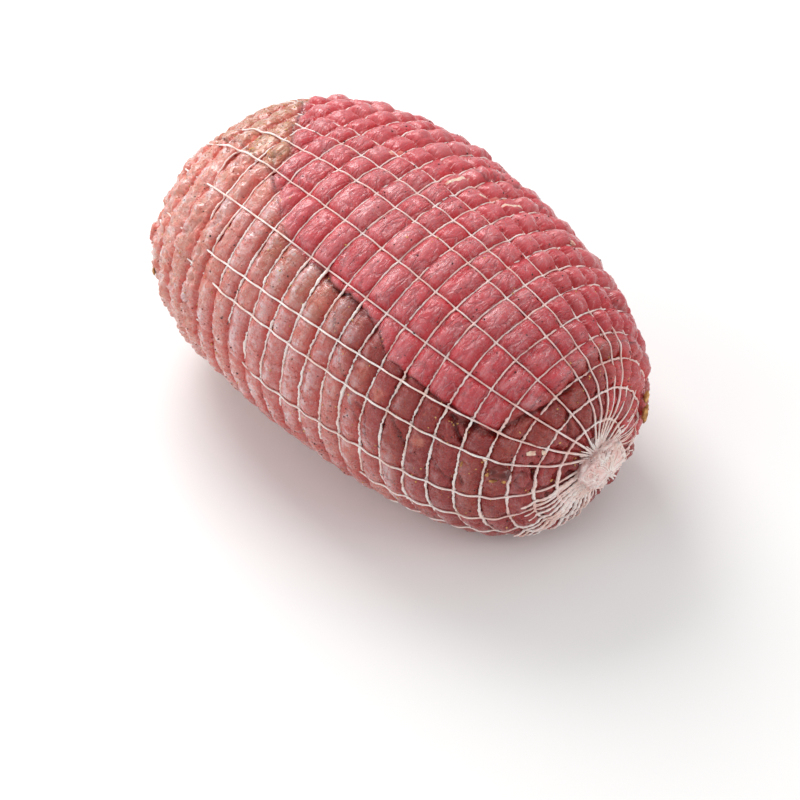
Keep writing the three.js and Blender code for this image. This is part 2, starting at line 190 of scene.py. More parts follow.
class Graph:
    """A node tree that is built call by call."""

    def __init__(self, tree: bpy.types.NodeTree) -> None:
        """Starts with an empty tree."""
        self.tree = tree
        tree.nodes.clear()

    def node(self, kind: str, settings: dict | None = None, inputs: dict | None = None) -> bpy.types.Node:
        """Adds a node.

        Args:
            kind: Blender's type of the node.
            settings: Its settings, which are set before its sockets.
            inputs: Values or links of its input sockets, by name or number.

        Returns:
            The new node.
        """
        made = self.tree.nodes.new(kind)
        for name, value in (settings or {}).items():
            setattr(made, name, value)
        for key, value in (inputs or {}).items():
            if isinstance(value, Value):
                value = value.socket
            if isinstance(value, bpy.types.NodeSocket):
                self.tree.links.new(value, made.inputs[key])
            else:
                made.inputs[key].default_value = value
        return made

    def value(self, kind: str, settings: dict | None = None, inputs: dict | None = None) -> Value:
        """Adds a node and wraps its first output."""
        return Value(self, self.node(kind, settings, inputs).outputs[0])

    def mix(self, factor: Term, first: Link | Colour, second: Link | Colour, blend: str = "MIX") -> Value:
        """Mixes two colours.

        Args:
            factor: How much of the second shows, from 0 to 1.
            first: The colour under it.
            second: The colour over it.
            blend: Blender's name for the way they mix.

        Returns:
            The mixed colour's socket.
        """
        settings = {"data_type": "RGBA", "blend_type": blend, "clamp_factor": True}
        made = self.node("ShaderNodeMix", settings, {0: factor, 6: first, 7: second})
        return Value(self, made.outputs[2])

    def attribute(self, name: str) -> Value:
        """A number stored on the mesh."""
        return Value(self, self.node("ShaderNodeAttribute", {"attribute_name": name}).outputs["Fac"])

    def place(self, name: str, scale: Sequence[float]) -> Link:
        """A place stored on the mesh, stretched along its three axes."""
        stored = self.node("ShaderNodeAttribute", {"attribute_name": name}).outputs["Vector"]
        return self.node("ShaderNodeMapping", {}, {"Vector": stored, "Scale": scale}).outputs[0]

    def noise(self, where: Link, scale: float, detail: float = 2.0, twist: float = 0.0) -> Value:
        """A noise texture's height, from 0 to 1."""
        inputs = {"Vector": where, "Scale": scale, "Detail": detail, "Distortion": twist}
        return self.value("ShaderNodeTexNoise", {}, inputs)

    def vector(self, operation: str, first: Link, second: Link | Sequence[float] | float) -> Link:
        """One Vector Math node; the second input is the number for SCALE."""
        key = "Scale" if operation == "SCALE" else 1
        return self.node("ShaderNodeVectorMath", {"operation": operation}, {0: first, key: second}).outputs[0]

    def bent(self, where: Link, amount: float) -> Link:
        """A place shifted by noise, so that a pattern on it is less regular."""
        shift = self.node("ShaderNodeTexNoise", {}, {"Vector": where, "Scale": 0.9, "Detail": 2.0}).outputs["Color"]
        centred = self.vector("SUBTRACT", shift, (0.5, 0.5, 0.5))
        return self.vector("ADD", where, self.vector("SCALE", centred, amount))

    def wrinkles(self, where: Link, width: float) -> Value:
        """Lines that enclose small cells: 1 on a line and 0 at a width from it."""
        settings, inputs = {"feature": "DISTANCE_TO_EDGE"}, {"Vector": self.bent(where, 1.3), "Scale": 1.0}
        return 1 - self.value("ShaderNodeTexVoronoi", settings, inputs).between(0.0, width)


@dataclass(frozen=True)
class Body:
    """The roll's outermost level: an egg-like form, flattened where it rests. Sizes in millimetres."""

    half_length: float = 111.0
    half_width: float = 74.4
    half_height: float = 62.7
    width_rounding: float = 0.266
    height_rounding: float = 0.235
    front_taper: float = 0.066
    section_power: float = 2.14
    axis_height: float = 58.1
    axis_fall: float = 9.4
    axis_bow: float = 8.2
    axis_twist: float = 6.1
    axis_side: float = 0.21
    end_share: float = 0.9999

    def width(self, share: Array) -> Array:
        """Half the width at a share of the length, from -1 to 1."""
        taper = 1 - self.front_taper * share
        return self.half_width * np.maximum(1 - share**2, 0) ** self.width_rounding * taper

    def height(self, share: Array) -> Array:
        """Half the height at a share of the length, from -1 to 1."""
        return self.half_height * np.maximum(1 - share**2, 0) ** self.height_rounding

    def axis(self, share: Array) -> Array:
        """Height of the roll's axis at a share of the length."""
        return self.axis_height - self.axis_fall * share - self.axis_bow * share**2 + self.axis_twist * share**3

    def point(self, share: Array, degrees: Array) -> Array:
        """Places on the outermost level, before it is flattened."""
        c, s = np.cos(np.radians(degrees)), np.sin(np.radians(degrees))
        reach = (np.abs(c) ** self.section_power + np.abs(s) ** self.section_power) ** (-1 / self.section_power)
        across = self.axis_side + self.width(share) * c * reach
        up = self.axis(share) + self.height(share) * s * reach
        return np.stack([share * self.half_length, across, up], axis=-1)

    def inward(self, share: Array, degrees: Array) -> Array:
        """Directions into the meat, square to the surface."""
        inside = np.clip(share, -self.end_share, self.end_share)
        step = np.minimum(0.001, (1 - np.abs(inside)) / 2)
        along = self.point(inside + step, degrees) - self.point(inside - step, degrees)
        around = self.point(inside, degrees + 0.5) - self.point(inside, degrees - 0.5)
        square = np.cross(along, around)
        return square / np.linalg.norm(square, axis=-1)[..., None]

    def at_depth(self, arc: Array, degrees: Array, depth: Array, floor: float = 0.0) -> Array:
        """Places at a depth under the outermost level of the flattened body.

        Args:
            arc: Distances along the outline from the front end.
            degrees: Angles round the roll.
            depth: Depths under the outermost level.
            floor: The lowest height that a place may have.

        Returns:
            Places of shape (n, 3).
        """
        share = self.share_at(arc)
        surface = self.point(share, degrees)
        under = surface[..., 2] < 0
        inward = np.where(under[..., None], np.array([0.0, 0.0, 1.0]), self.inward(share, degrees))
        surface[..., 2] = np.maximum(surface[..., 2], 0)
        surface = surface + inward * np.asarray(depth)[..., None]
        surface[..., 2] = np.maximum(surface[..., 2], floor)
        return surface

    @cached_property
    def outline(self) -> tuple[Array, Array, Array]:
        """Distance along the outline, share of the length and radius, from the front end."""
        share = np.cos(np.linspace(0, np.pi, 8001))
        radius = np.sqrt(self.width(share) * self.height(share))
        steps = np.hypot(np.diff(share * self.half_length), np.diff(radius))
        return np.concatenate([[0], np.cumsum(steps)]), share, radius

    @property
    def length(self) -> float:
        """Length of the outline from end to end."""
        return float(self.outline[0][-1])

    def arc_at(self, x: Array) -> Array:
        """Distance along the outline from the front end, at a distance along X."""
        arcs, shares, _ = self.outline
        return np.interp(-np.asarray(x), -shares * self.half_length, arcs)

    def share_at(self, arc: Array) -> Array:
        """Share of the length at a distance along the outline."""
        return np.interp(arc, self.outline[0], self.outline[1])

    def radius_at(self, arc: Array) -> Array:
        """Mean radius at a distance along the outline."""
        return np.interp(arc, self.outline[0], self.outline[2])

    def unrolled(self, arc: Array, degrees: Array) -> Array:
        """A place that keeps true distances along and round the roll, for patterns."""
        radius, turn = self.radius_at(arc), np.radians(degrees)
        return np.stack([arc, radius * np.cos(turn), radius * np.sin(turn)], axis=-1)


@dataclass(frozen=True)
class Lattice:
    """Where the rings and strands of the net lie. Distances in millimetres, angles in degrees."""

    body: Body
    ring_arcs: tuple[float, ...] = (
        19.0, 31.2, 42.8, 53.5, 64.7, 75.8, 86.7, 97.1, 107.5, 117.4, 127.7, 137.8, 148.3,
        158.8, 169.9, 180.4, 191.5, 202.1, 213.7, 226.7, 239.5, 251.5, 263.0, 274.0, 285.0,
    )  # fmt: skip
    strand_middles: tuple[float, ...] = (45, 56, 66, 76, 85.2, 95.2, 109.9, 126.6, 144.9, 156.1, 179.9, 198.5)
    strand_drifts: tuple[float, ...] = (0, -1, -2.5, -4, -2.5, -3, 0.8, 0.3, -3.5, 0.5, 1.2, 0)
    hidden_strands: int = 10
    front_tilt: float = 3.2
    tilt_reach: float = 14.0
    tilt_side: float = 192.0
    wander: float = 0.7

    def strand_angles(self, arc: Array) -> Array:
        """Angles of all strands, one row for each distance along the roll."""
        share = self.body.share_at(arc)[:, None]
        shown = np.array(self.strand_middles) + np.array(self.strand_drifts) * share
        gap = (360 + shown[:, :1] - shown[:, -1:]) / (self.hidden_strands + 1)
        hidden = shown[:, -1:] + gap * np.arange(1, self.hidden_strands + 1)
        return np.concatenate([shown, hidden], axis=1)

    @property
    def strand_count(self) -> int:
        """Number of strands round the roll."""
        return len(self.strand_middles) + self.hidden_strands

    def ring_shift(self, arc: Array, degrees: Array) -> Array:
        """How far a ring lies behind its mean place, at each angle."""
        tilt = self.front_tilt * np.exp(-np.maximum(arc - self.ring_arcs[0], 0) / self.tilt_reach)
        turn = np.radians(degrees)
        waves = np.sin(3 * turn + arc * 0.9) + 0.6 * np.sin(5 * turn - arc * 0.53) + 0.5 * np.sin(9 * turn + arc * 1.7)
        fade = soft_step(arc, 15, 60)
        return tilt * np.cos(np.radians(degrees - self.tilt_side)) + self.wander * 0.5 * waves * fade

    def ring_position(self, arc: Array, degrees: Array) -> Array:
        """Number of the ring at each place, with its share of the way to the next."""
        ends = [-self.ring_arcs[0], *self.ring_arcs, 2 * self.body.length - self.ring_arcs[-1]]
        numbers = np.arange(-1, len(self.ring_arcs) + 1)
        return np.interp(arc - self.ring_shift(arc, degrees), ends, numbers)

    def strand_position(self, arc: Array, degrees: Array) -> tuple[Array, Array, Array]:
        """Where each place lies between two strands.

        Args:
            arc: Distances along the outline.
            degrees: Angles round the roll.

        Returns:
            The strand before each place, the share of the way to the next, and their gap in millimetres.
        """
        angles = self.strand_angles(arc)
        turned = (degrees - angles[:, 0]) % 360 + angles[:, 0]
        before = (angles <= turned[:, None]).sum(axis=1) - 1
        rows = np.arange(len(arc))
        start = angles[rows, before]
        after = np.where(before + 1 < angles.shape[1], angles[rows, (before + 1) % angles.shape[1]], angles[:, 0] + 360)
        gap = np.radians(after - start) * self.body.radius_at(arc)
        return before, (turned - start) / (after - start), gap


Line = tuple[tuple[float, float], ...]
FAR_SEAM = -25.0


class Meat(Enum):
    """The four pieces of meat, by the names of the solids they stand for."""

    PALE = "meat_pale"
    SEASONED = "meat_seasoned"
    RED = "meat_red"
    BROWN = "meat_brown"


@dataclass
class Shares:
    """How much each place belongs to the red, brown and seasoned meat, and how near it is to a seam."""

    owner: Array
    red: Array
    brown: Array
    seasoned: Array
    slit: Array
    step: Array


@dataclass(frozen=True)
class Seams:
    """The lines where two pieces of meat meet, as millimetres along and degrees round the roll."""

    body: Body
    top: Line = (
        (-112, 104), (-78, 105.5), (-50, 111), (-25, 124), (-17, 127), (23, 130), (37, 133),
        (45, 139), (73, 142), (97.8, 143),
    )  # fmt: skip
    front: Line = ((FAR_SEAM, 98.8), (60, 98), (84, 98.5), (107, 100.4), (120, 98.5), (143, 97.8))
    red_edge: Line = ((FAR_SEAM, 99), (42, 99), (60, 95), (72, 97), (84, 98), (107, 101), (118, 98.5), (130, 94), (143, 93.5))
    rear: Line = ((FAR_SEAM, -85), (30, -85.5), (67, -84), (81, -71), (91, -63), (100, -52), (111, -50))
    brown: Line = ((128.9, 9.5), (150, 30), (178, 52), (205, 70), (245, 86), (FAR_SEAM + 360, 98.8))
    scale: float = 1.152
    slit_reach: tuple[float, float, float, float] = (-14, 2, 38, 48)

    @staticmethod
    def line(points: Line, at: Array) -> Array:
        """The second number of a line where its first is at a value."""
        first, second = zip(*points)
        return np.interp(at, first, second)

    def shares(self, arc: Array, degrees: Array, fray: Array) -> Shares:
        """Which meat each place belongs to.

        Args:
            arc: Distances along the outline.
            degrees: Angles round the roll.
            fray: Noise that makes the seams uneven, from -1 to 1.

        Returns:
            The shares of the meats, with how deep the seams' slits are.
        """
        x = self.body.share_at(arc) * self.body.half_length
        turned = (degrees + fray * 1.2 - FAR_SEAM) % 360 + FAR_SEAM
        below = (turned - self.line(self.top, x)) * self.scale
        far = (turned - FAR_SEAM) * self.scale
        upper = np.minimum(-below, np.minimum(far, 400))
        past_front = x + fray * 0.8 - self.line(self.front, turned)
        past_rear = x + fray * 0.8 - self.line(self.rear, turned)
        past_edge = x - self.line(self.red_edge, turned)
        past_brown = x - self.line(self.brown, turned)
        is_upper = upper > 0
        owner = np.where(
            is_upper,
            np.where(past_front > 0, 3, np.where(past_rear < 0, 1, 2)),
            np.where(past_brown > 0, 3, 0),
        )
        soft = 0.7 + 3.2 * soft_step(x, -14, -28)
        rise = soft_step(upper / soft + fray * 0.6, -1, 1)
        front = soft_step(past_edge + fray * 1.5, -2.5, 3.5)
        behind = soft_step(past_rear + fray * 3.5, -3, 3)
        brown = rise * front + (1 - rise) * soft_step(past_brown + fray * 5, -26, 30)
        red = rise * (1 - front) * behind
        seasoned = rise * (1 - front) * (1 - behind)
        low, full, last, end = self.slit_reach
        deep = soft_step(x, low, full) * soft_step(x, end, last) * (0.4 + 0.6 * soft_step(x, 33, 20))
        fine = soft_step(x, 44, 52) * soft_step(x, 97, 92) * 0.6 + soft_step(x, -60, -78) * 0.4
        slit = np.maximum(deep, fine)
        near = bell(below - 0.7, 0.75 + 0.6 * slit) * slit
        crease = bell(past_rear, 1.6) * is_upper * 0.4 + bell(np.minimum(far, 360 * self.scale - far), 1.8) * 0.5
        step = soft_step(below, -2.5, 1.0) * soft_step(below, 9, 2) * slit
        return Shares(owner, red, brown, seasoned, np.clip(near + crease, 0, 1), step)


@dataclass(frozen=True)
class Lobes:
    """Small lobes and gaps of the meat, whose gaps the finish darkens with painted shadow, at millimetres along X and
    degrees round the roll.
    """

    body: Body
    gaps: tuple[tuple[float, float, Line], ...] = (
        (3.2, 1.1, ((77.2, 145.2), (80.6, 149.0), (83.8, 153.2))),
        (2.8, 1.8, ((79.2, 145.2), (85.7, 145.8))),
        (2.0, 1.2, ((85.1, 144.6), (90.2, 145.2), (94.6, 143.4), (96.0, 137.0), (98.2, 130.5), (101.0, 122.0))),
        (1.8, 0.9, ((101.3, 121.2), (102.3, 118.5), (103.0, 114.2))),
        (2.0, 0.9, ((102.8, 108.5), (103.4, 101.2))),
        (1.7, 0.7, ((107.5, 114.0), (109.3, 120.0), (109.6, 123.8))),
        (2.4, 0.9, ((106.4, 155.0), (107.2, 160.5), (107.9, 166.0))),
        (1.6, 0.8, ((86.9, 170.8), (88.1, 173.8))),
        (1.6, 0.9, ((109.4, 186.8), (109.7, 196.8))),
        (1.1, 0.8, ((75.4, 168.0), (80.6, 172.2), (84.5, 176.2))),
        (1.3, 0.8, ((57.0, 158.0), (61.0, 162.5), (64.0, 168.0))),
        (1.0, 0.7, ((40.5, 160.0), (46.0, 164.0), (47.0, 171.0))),
        (1.2, 0.7, ((-58.0, 103.5), (-53.0, 108.0), (-47.0, 112.5), (-40.0, 116.0))),
    )
    lobes: tuple[tuple[float, float, float, float], ...] = (
        (99.0, 161.5, 5.0, 0.5),
        (105.8, 167.5, 3.4, 1.3),
        (8.7, 57.0, 4.5, 1.8),
        (15.0, 47.0, 4.5, 1.6),
        (26.0, 44.0, 4.0, 1.5),
        (80.0, 40.0, 4.5, 1.4),
        (-98.8, 164.5, 5.5, 2.2),
        (-95.5, 182.0, 5.0, 1.4),
        (-60.0, 101.5, 5.5, 0.9),
    )
    films: tuple[tuple[float, Line], ...] = (
        (0.7, ((7.0, 74.5), (8.6, 71.0), (8.2, 65.5))),
        (0.8, ((19.6, 69.0), (21.6, 66.5), (23.6, 63.2))),
        (0.6, ((27.8, 64.5), (29.9, 61.5), (31.4, 57.5))),
        (0.7, ((-20.5, 79.0), (-19.4, 75.0))),
        (0.8, ((-67.0, 98.0), (-65.0, 103.0), (-66.0, 108.0))),
        (0.6, ((-76.0, 100.0), (-74.5, 108.0))),
    )
    warm_spots: tuple[tuple[float, float, float], ...] = (
        (38.4, 148.3, 4.5),
        (48.3, 152.5, 4.0),
        (69.1, 161.8, 4.0),
        (10.0, 137.0, 4.0),
        (-6.0, 150.0, 3.5),
        (24.0, 164.0, 3.5),
    )

    def flat(self, x: float | Array, degrees: float | Array, middle: float) -> Array:
        """A place on a flat map whose scale is true at a distance along the roll."""
        radius = float(self.body.radius_at(middle))
        return np.stack([self.body.arc_at(x), np.radians(degrees) * radius], axis=-1)

    def away_from(self, line: Line, x: Array, turned: Array) -> Array:
        """Distances of places from a line, in millimetres along the surface."""
        middle = float(np.mean([p[0] for p in line]))
        here, away = self.flat(x, turned, float(self.body.arc_at(middle))), np.full(len(x), 99.0)
        corners = [self.flat(np.array(p[0]), np.array(p[1]), float(self.body.arc_at(middle))) for p in line]
        for a, b in zip(corners, corners[1:] or corners):
            share = np.clip(((here - a) @ (b - a)) / max((b - a) @ (b - a), 1e-9), 0, 1)
            away = np.minimum(away, np.linalg.norm(here - a - share[:, None] * (b - a), axis=1))
        return away

    def stains(self, arc: Array, degrees: Array) -> tuple[Array, Array]:
        """How much of each place is a film of fat, and how much is a warm spot."""
        x = self.body.share_at(arc) * self.body.half_length
        turned = (degrees - FAR_SEAM) % 360 + FAR_SEAM
        fat = np.max([bell(self.away_from(line, x, turned), width) for width, line in self.films], axis=0)
        warm = np.max([bell(self.away_from(((at, angle),), x, turned), size) for at, angle, size in self.warm_spots], axis=0)
        return fat, warm

    def relief(self, arc: Array, degrees: Array) -> tuple[Array, Array]:
        """How the lobes and gaps change the surface.

        Args:
            arc: Distances along the outline.
            degrees: Angles round the roll.

        Returns:
            The added depth, and how much of each place is in a gap.
        """
        depth, gap = np.zeros(len(arc)), np.zeros(len(arc))
        turned = (degrees - FAR_SEAM) % 360 + FAR_SEAM
        x = self.body.share_at(arc) * self.body.half_length
        for deep, width, line in self.gaps:
            away = self.away_from(line, x, turned)
            depth += deep * bell(away, width)
            gap = np.maximum(gap, bell(away, width * 0.9) * min(deep / 2.4, 1))
        for at, angle, radius, height in self.lobes:
            away = self.away_from(((at, angle),), x, turned)
            depth -= height * np.maximum(1 - (away / radius) ** 2, 0) ** 0.7
            depth += 0.5 * height * bell(away - radius, 0.7)
            gap = np.maximum(gap, 0.6 * bell(away - radius, 0.6) * min(height / 1.7, 1))
        return depth, gap


@dataclass
class Surface:
    """The meat's surface at many places: its depth and what its finish reads."""

    depth: Array
    smooth_depth: Array
    hollow: Array
    side: Array
    tone: Array
    hue: Array
    gap: Array
    shares: Shares


@dataclass(frozen=True)
class Relief:
    """How the net and the seams shape the meat. Depths in millimetres under the outermost level."""

    body: Body
    lattice: Lattice
    seams: Seams
    lobes: Lobes
    groove: float = 3.4
    cap_groove: float = 2.7
    groove_power: float = 2.15
    crease: float = 0.7
    pillow: float = 0.4
    red_crease: float = 0.6
    red_pillow: float = 1.5
    far_pillow: float = 1.3
    slit: float = 2.1
    step: float = 0.9
    lump: float = 0.6
    seed: int = 41

    @cached_property
    def noises(self) -> list[Noise]:
        """One noise for each use."""
        return [Noise(self.seed + k) for k in range(7)]

    def cell_draws(self, ring: Array, strand: Array, seed: int) -> Array:
        """A random number for each cell of the net, from -1 to 1."""
        random = np.random.default_rng(seed)
        table = random.uniform(-1, 1, (len(self.lattice.ring_arcs) + 2, self.lattice.strand_count))
        return table[(ring + 1) % len(table), strand]

    def surface(self, arc: Array, degrees: Array) -> Surface:
        """Works out the surface.

        Args:
            arc: Distances along the outline.
            degrees: Angles round the roll.

        Returns:
            The surface at each place.
        """
        place = self.body.unrolled(arc, degrees)
        coarse, fine, folds, fibres, mask, fray, warp = self.noises
        shares = self.seams.shares(arc, degrees, fray.at(place, 7, 2))
        turned = (degrees - FAR_SEAM) % 360 + FAR_SEAM
        rear = soft_step(arc, 190, 215) * soft_step(turned, 90, 112)
        wander = (0.3 + 0.55 * rear) * warp.at(place, 5, 2) + 1.1 * rear * warp.at(place + 30, 14)
        rings = self.lattice.ring_position(arc + wander, degrees)
        ring = np.floor(rings).astype(int)
        to_ring = np.abs(2 * (rings - ring) - 1)
        strand, between, gap = self.lattice.strand_position(arc, degrees)
        to_strand = np.abs(2 * between - 1)
        strand_distance = (1 - to_strand) * gap / 2
        front = soft_step(arc, 52, 40)
        red = np.clip(shares.red + 0.8 * front, 0, 1)
        far = soft_step(turned, 84, 66) * red
        draw = self.cell_draws(ring, strand, self.seed)
        other = self.cell_draws(ring, strand, self.seed + 1)

        # The groove that a ring presses in, shallower on the front cap
        trough = 1 - np.sqrt(1 - np.minimum(to_ring, 0.992) ** self.groove_power)
        ends = soft_step(arc, 44, 20) + soft_step(arc, self.body.length - 40, self.body.length - 15)
        groove = self.groove + (self.cap_groove - self.groove) * ends
        depth = groove * trough

        # The crease under a strand, and the pillow between two strands
        wide = np.minimum(gap / 11, 1)
        hidden = rear * 0.8
        crease = (self.crease + self.red_crease * (red + 0.7 * far)) * bell(strand_distance, 1.5) * (1 - hidden)
        tall = self.pillow + self.red_pillow * red + self.far_pillow * far
        pillow = tall * (1 - np.sqrt(1 - 0.97 * to_strand**2.8)) * wide * (1 - hidden)
        depth = depth + (crease + pillow) * (1 - 0.7 * trough)

        # Each cell bulges on its own
        bulge = draw * (0.15 + 0.4 * red + 0.5 * far + 0.5 * rear + 0.3 * front) * (1 - to_ring**2) * (1 - to_strand**2)
        lumps = coarse.at(place, 19, 2)
        smooth_depth = depth + self.lump * lumps + self.slit * 0.4 * shares.slit

        # Folds run round the roll on the red meat, and along the ridges at the pale end
        drift = coarse.at(place + 90, 21) * 11 + other * 2
        slanted = np.stack([(place[:, 0] + drift) / 3.1, place[:, 1] / 9, place[:, 2] / 9], axis=1)
        fold = np.maximum(1 - np.abs(folds.at(slanted, 1, 2)) * 3.4, 0) ** 1.3
        patchy = soft_step(mask.at(place, 11, 2), -0.35, 0.3) * (1 - 0.6 * far)
        crossing = np.stack([place[:, 0] / 9, place[:, 1] / 2.0, place[:, 2] / 2.0], axis=1)
        grain = fibres.at(crossing, 1, 2)
        pale = 1 - np.clip(shares.red + shares.brown, 0, 1)
        open_face = 1 - trough**1.5
        uneven = 0.3 + 0.9 * rear + 0.55 * front + 0.35 * far + 0.3 * shares.brown
        depth = depth - bulge + self.lump * lumps + fine.at(place, 5.5, 3) * uneven
        depth = depth + fold * patchy * open_face * (0.9 * shares.red + 0.6 * shares.brown + 1.1 * rear)
        depth = depth + grain * (0.05 + 0.2 * pale + 0.04 * shares.red) * (0.4 + open_face)
        depth = depth + folds.at(place, 2.4, 2) * (0.1 + 0.2 * rear + 0.1 * front)

        # Slits along the seams, the step down from the red meat's edge, lobes and gaps
        lobed, gap_share = self.lobes.relief(arc, degrees)
        depth = depth + self.slit * shares.slit + self.step * shares.step + lobed
        # The finish reads hollow for painted shade, and side, a place's share of the way between two rings, for the
        # side of a cell that it lights or shades
        beside = bell(strand_distance, 1.3) * (0.3 + 0.25 * red) * open_face * (1 - hidden)
        hollow = np.clip(trough * 0.95 + beside, 0, 1)
        tone = draw * 0.5 + 0.5 * lumps - 0.35 * fold * patchy * open_face
        return Surface(np.maximum(depth, -1.9), smooth_depth, hollow, rings - ring, tone, other, gap_share, shares)


def make_mesh(name: str, points: Array, faces: Sequence[Sequence[int]], smooth: bool = True) -> bpy.types.Mesh:
    """Makes a mesh in metres.

    Args:
        name: Its name.
        points: Its vertices in millimetres.
        faces: Its faces as vertex numbers, facing outwards.
        smooth: Whether it is shaded smooth.

    Returns:
        The new mesh.
    """
    mesh = bpy.data.meshes.new(name)
    mesh.from_pydata((np.asarray(points) * METRES).tolist(), [], [list(f) for f in faces])
    mesh.polygons.foreach_set("use_smooth", [smooth] * len(mesh.polygons))
    mesh.update()
    return mesh


def store(mesh: bpy.types.Mesh, name: str, values: Array) -> None:
    """Stores a number or a place for each vertex of a mesh."""
    kind, key = ("FLOAT_VECTOR", "vector") if values.ndim == 2 else ("FLOAT", "value")
    mesh.attributes.new(name, kind, "POINT").data.foreach_set(key, values.astype(np.float32).ravel())


def show(name: str, mesh: bpy.types.Mesh) -> bpy.types.Object:
    """Puts a mesh in the scene as an object at the origin."""
    made = bpy.data.objects.new(name, mesh)
    bpy.context.scene.collection.objects.link(made)
    return made


def fit_out(piece: bpy.types.Object, material: bpy.types.Material, node: str | None = None) -> None:
    """Gives a piece its finish, puts it under the roast's body and hides the solid that it stands for.

    Args:
        piece: The finished object.
        material: Its finish.
        node: The solid that the piece stands for, if it does.
    """
    piece.data.materials.clear()
    piece.data.materials.append(material)
    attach(piece, BODY)
    if node:
        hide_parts(node)
    LOG.info("%s: %d faces", piece.name, len(piece.data.polygons))


def principled(name: str, **constants: float | Sequence[float]) -> tuple[bpy.types.Material, Graph, bpy.types.Node]:
    """Starts a material.

    Args:
        name: Its name.
        constants: Values of the shader's own sockets, by name with underscores for spaces.

    Returns:
        The material, its graph and its shader node.
    """
    material = bpy.data.materials.new(name)
    material.use_nodes = True
    graph = Graph(material.node_tree)
    inputs = {key.replace("_", " "): value for key, value in constants.items()}
    shader = graph.node("ShaderNodeBsdfPrincipled", {}, inputs)
    graph.node("ShaderNodeOutputMaterial", {}, {"Surface": shader.outputs[0]})
    return material, graph, shader


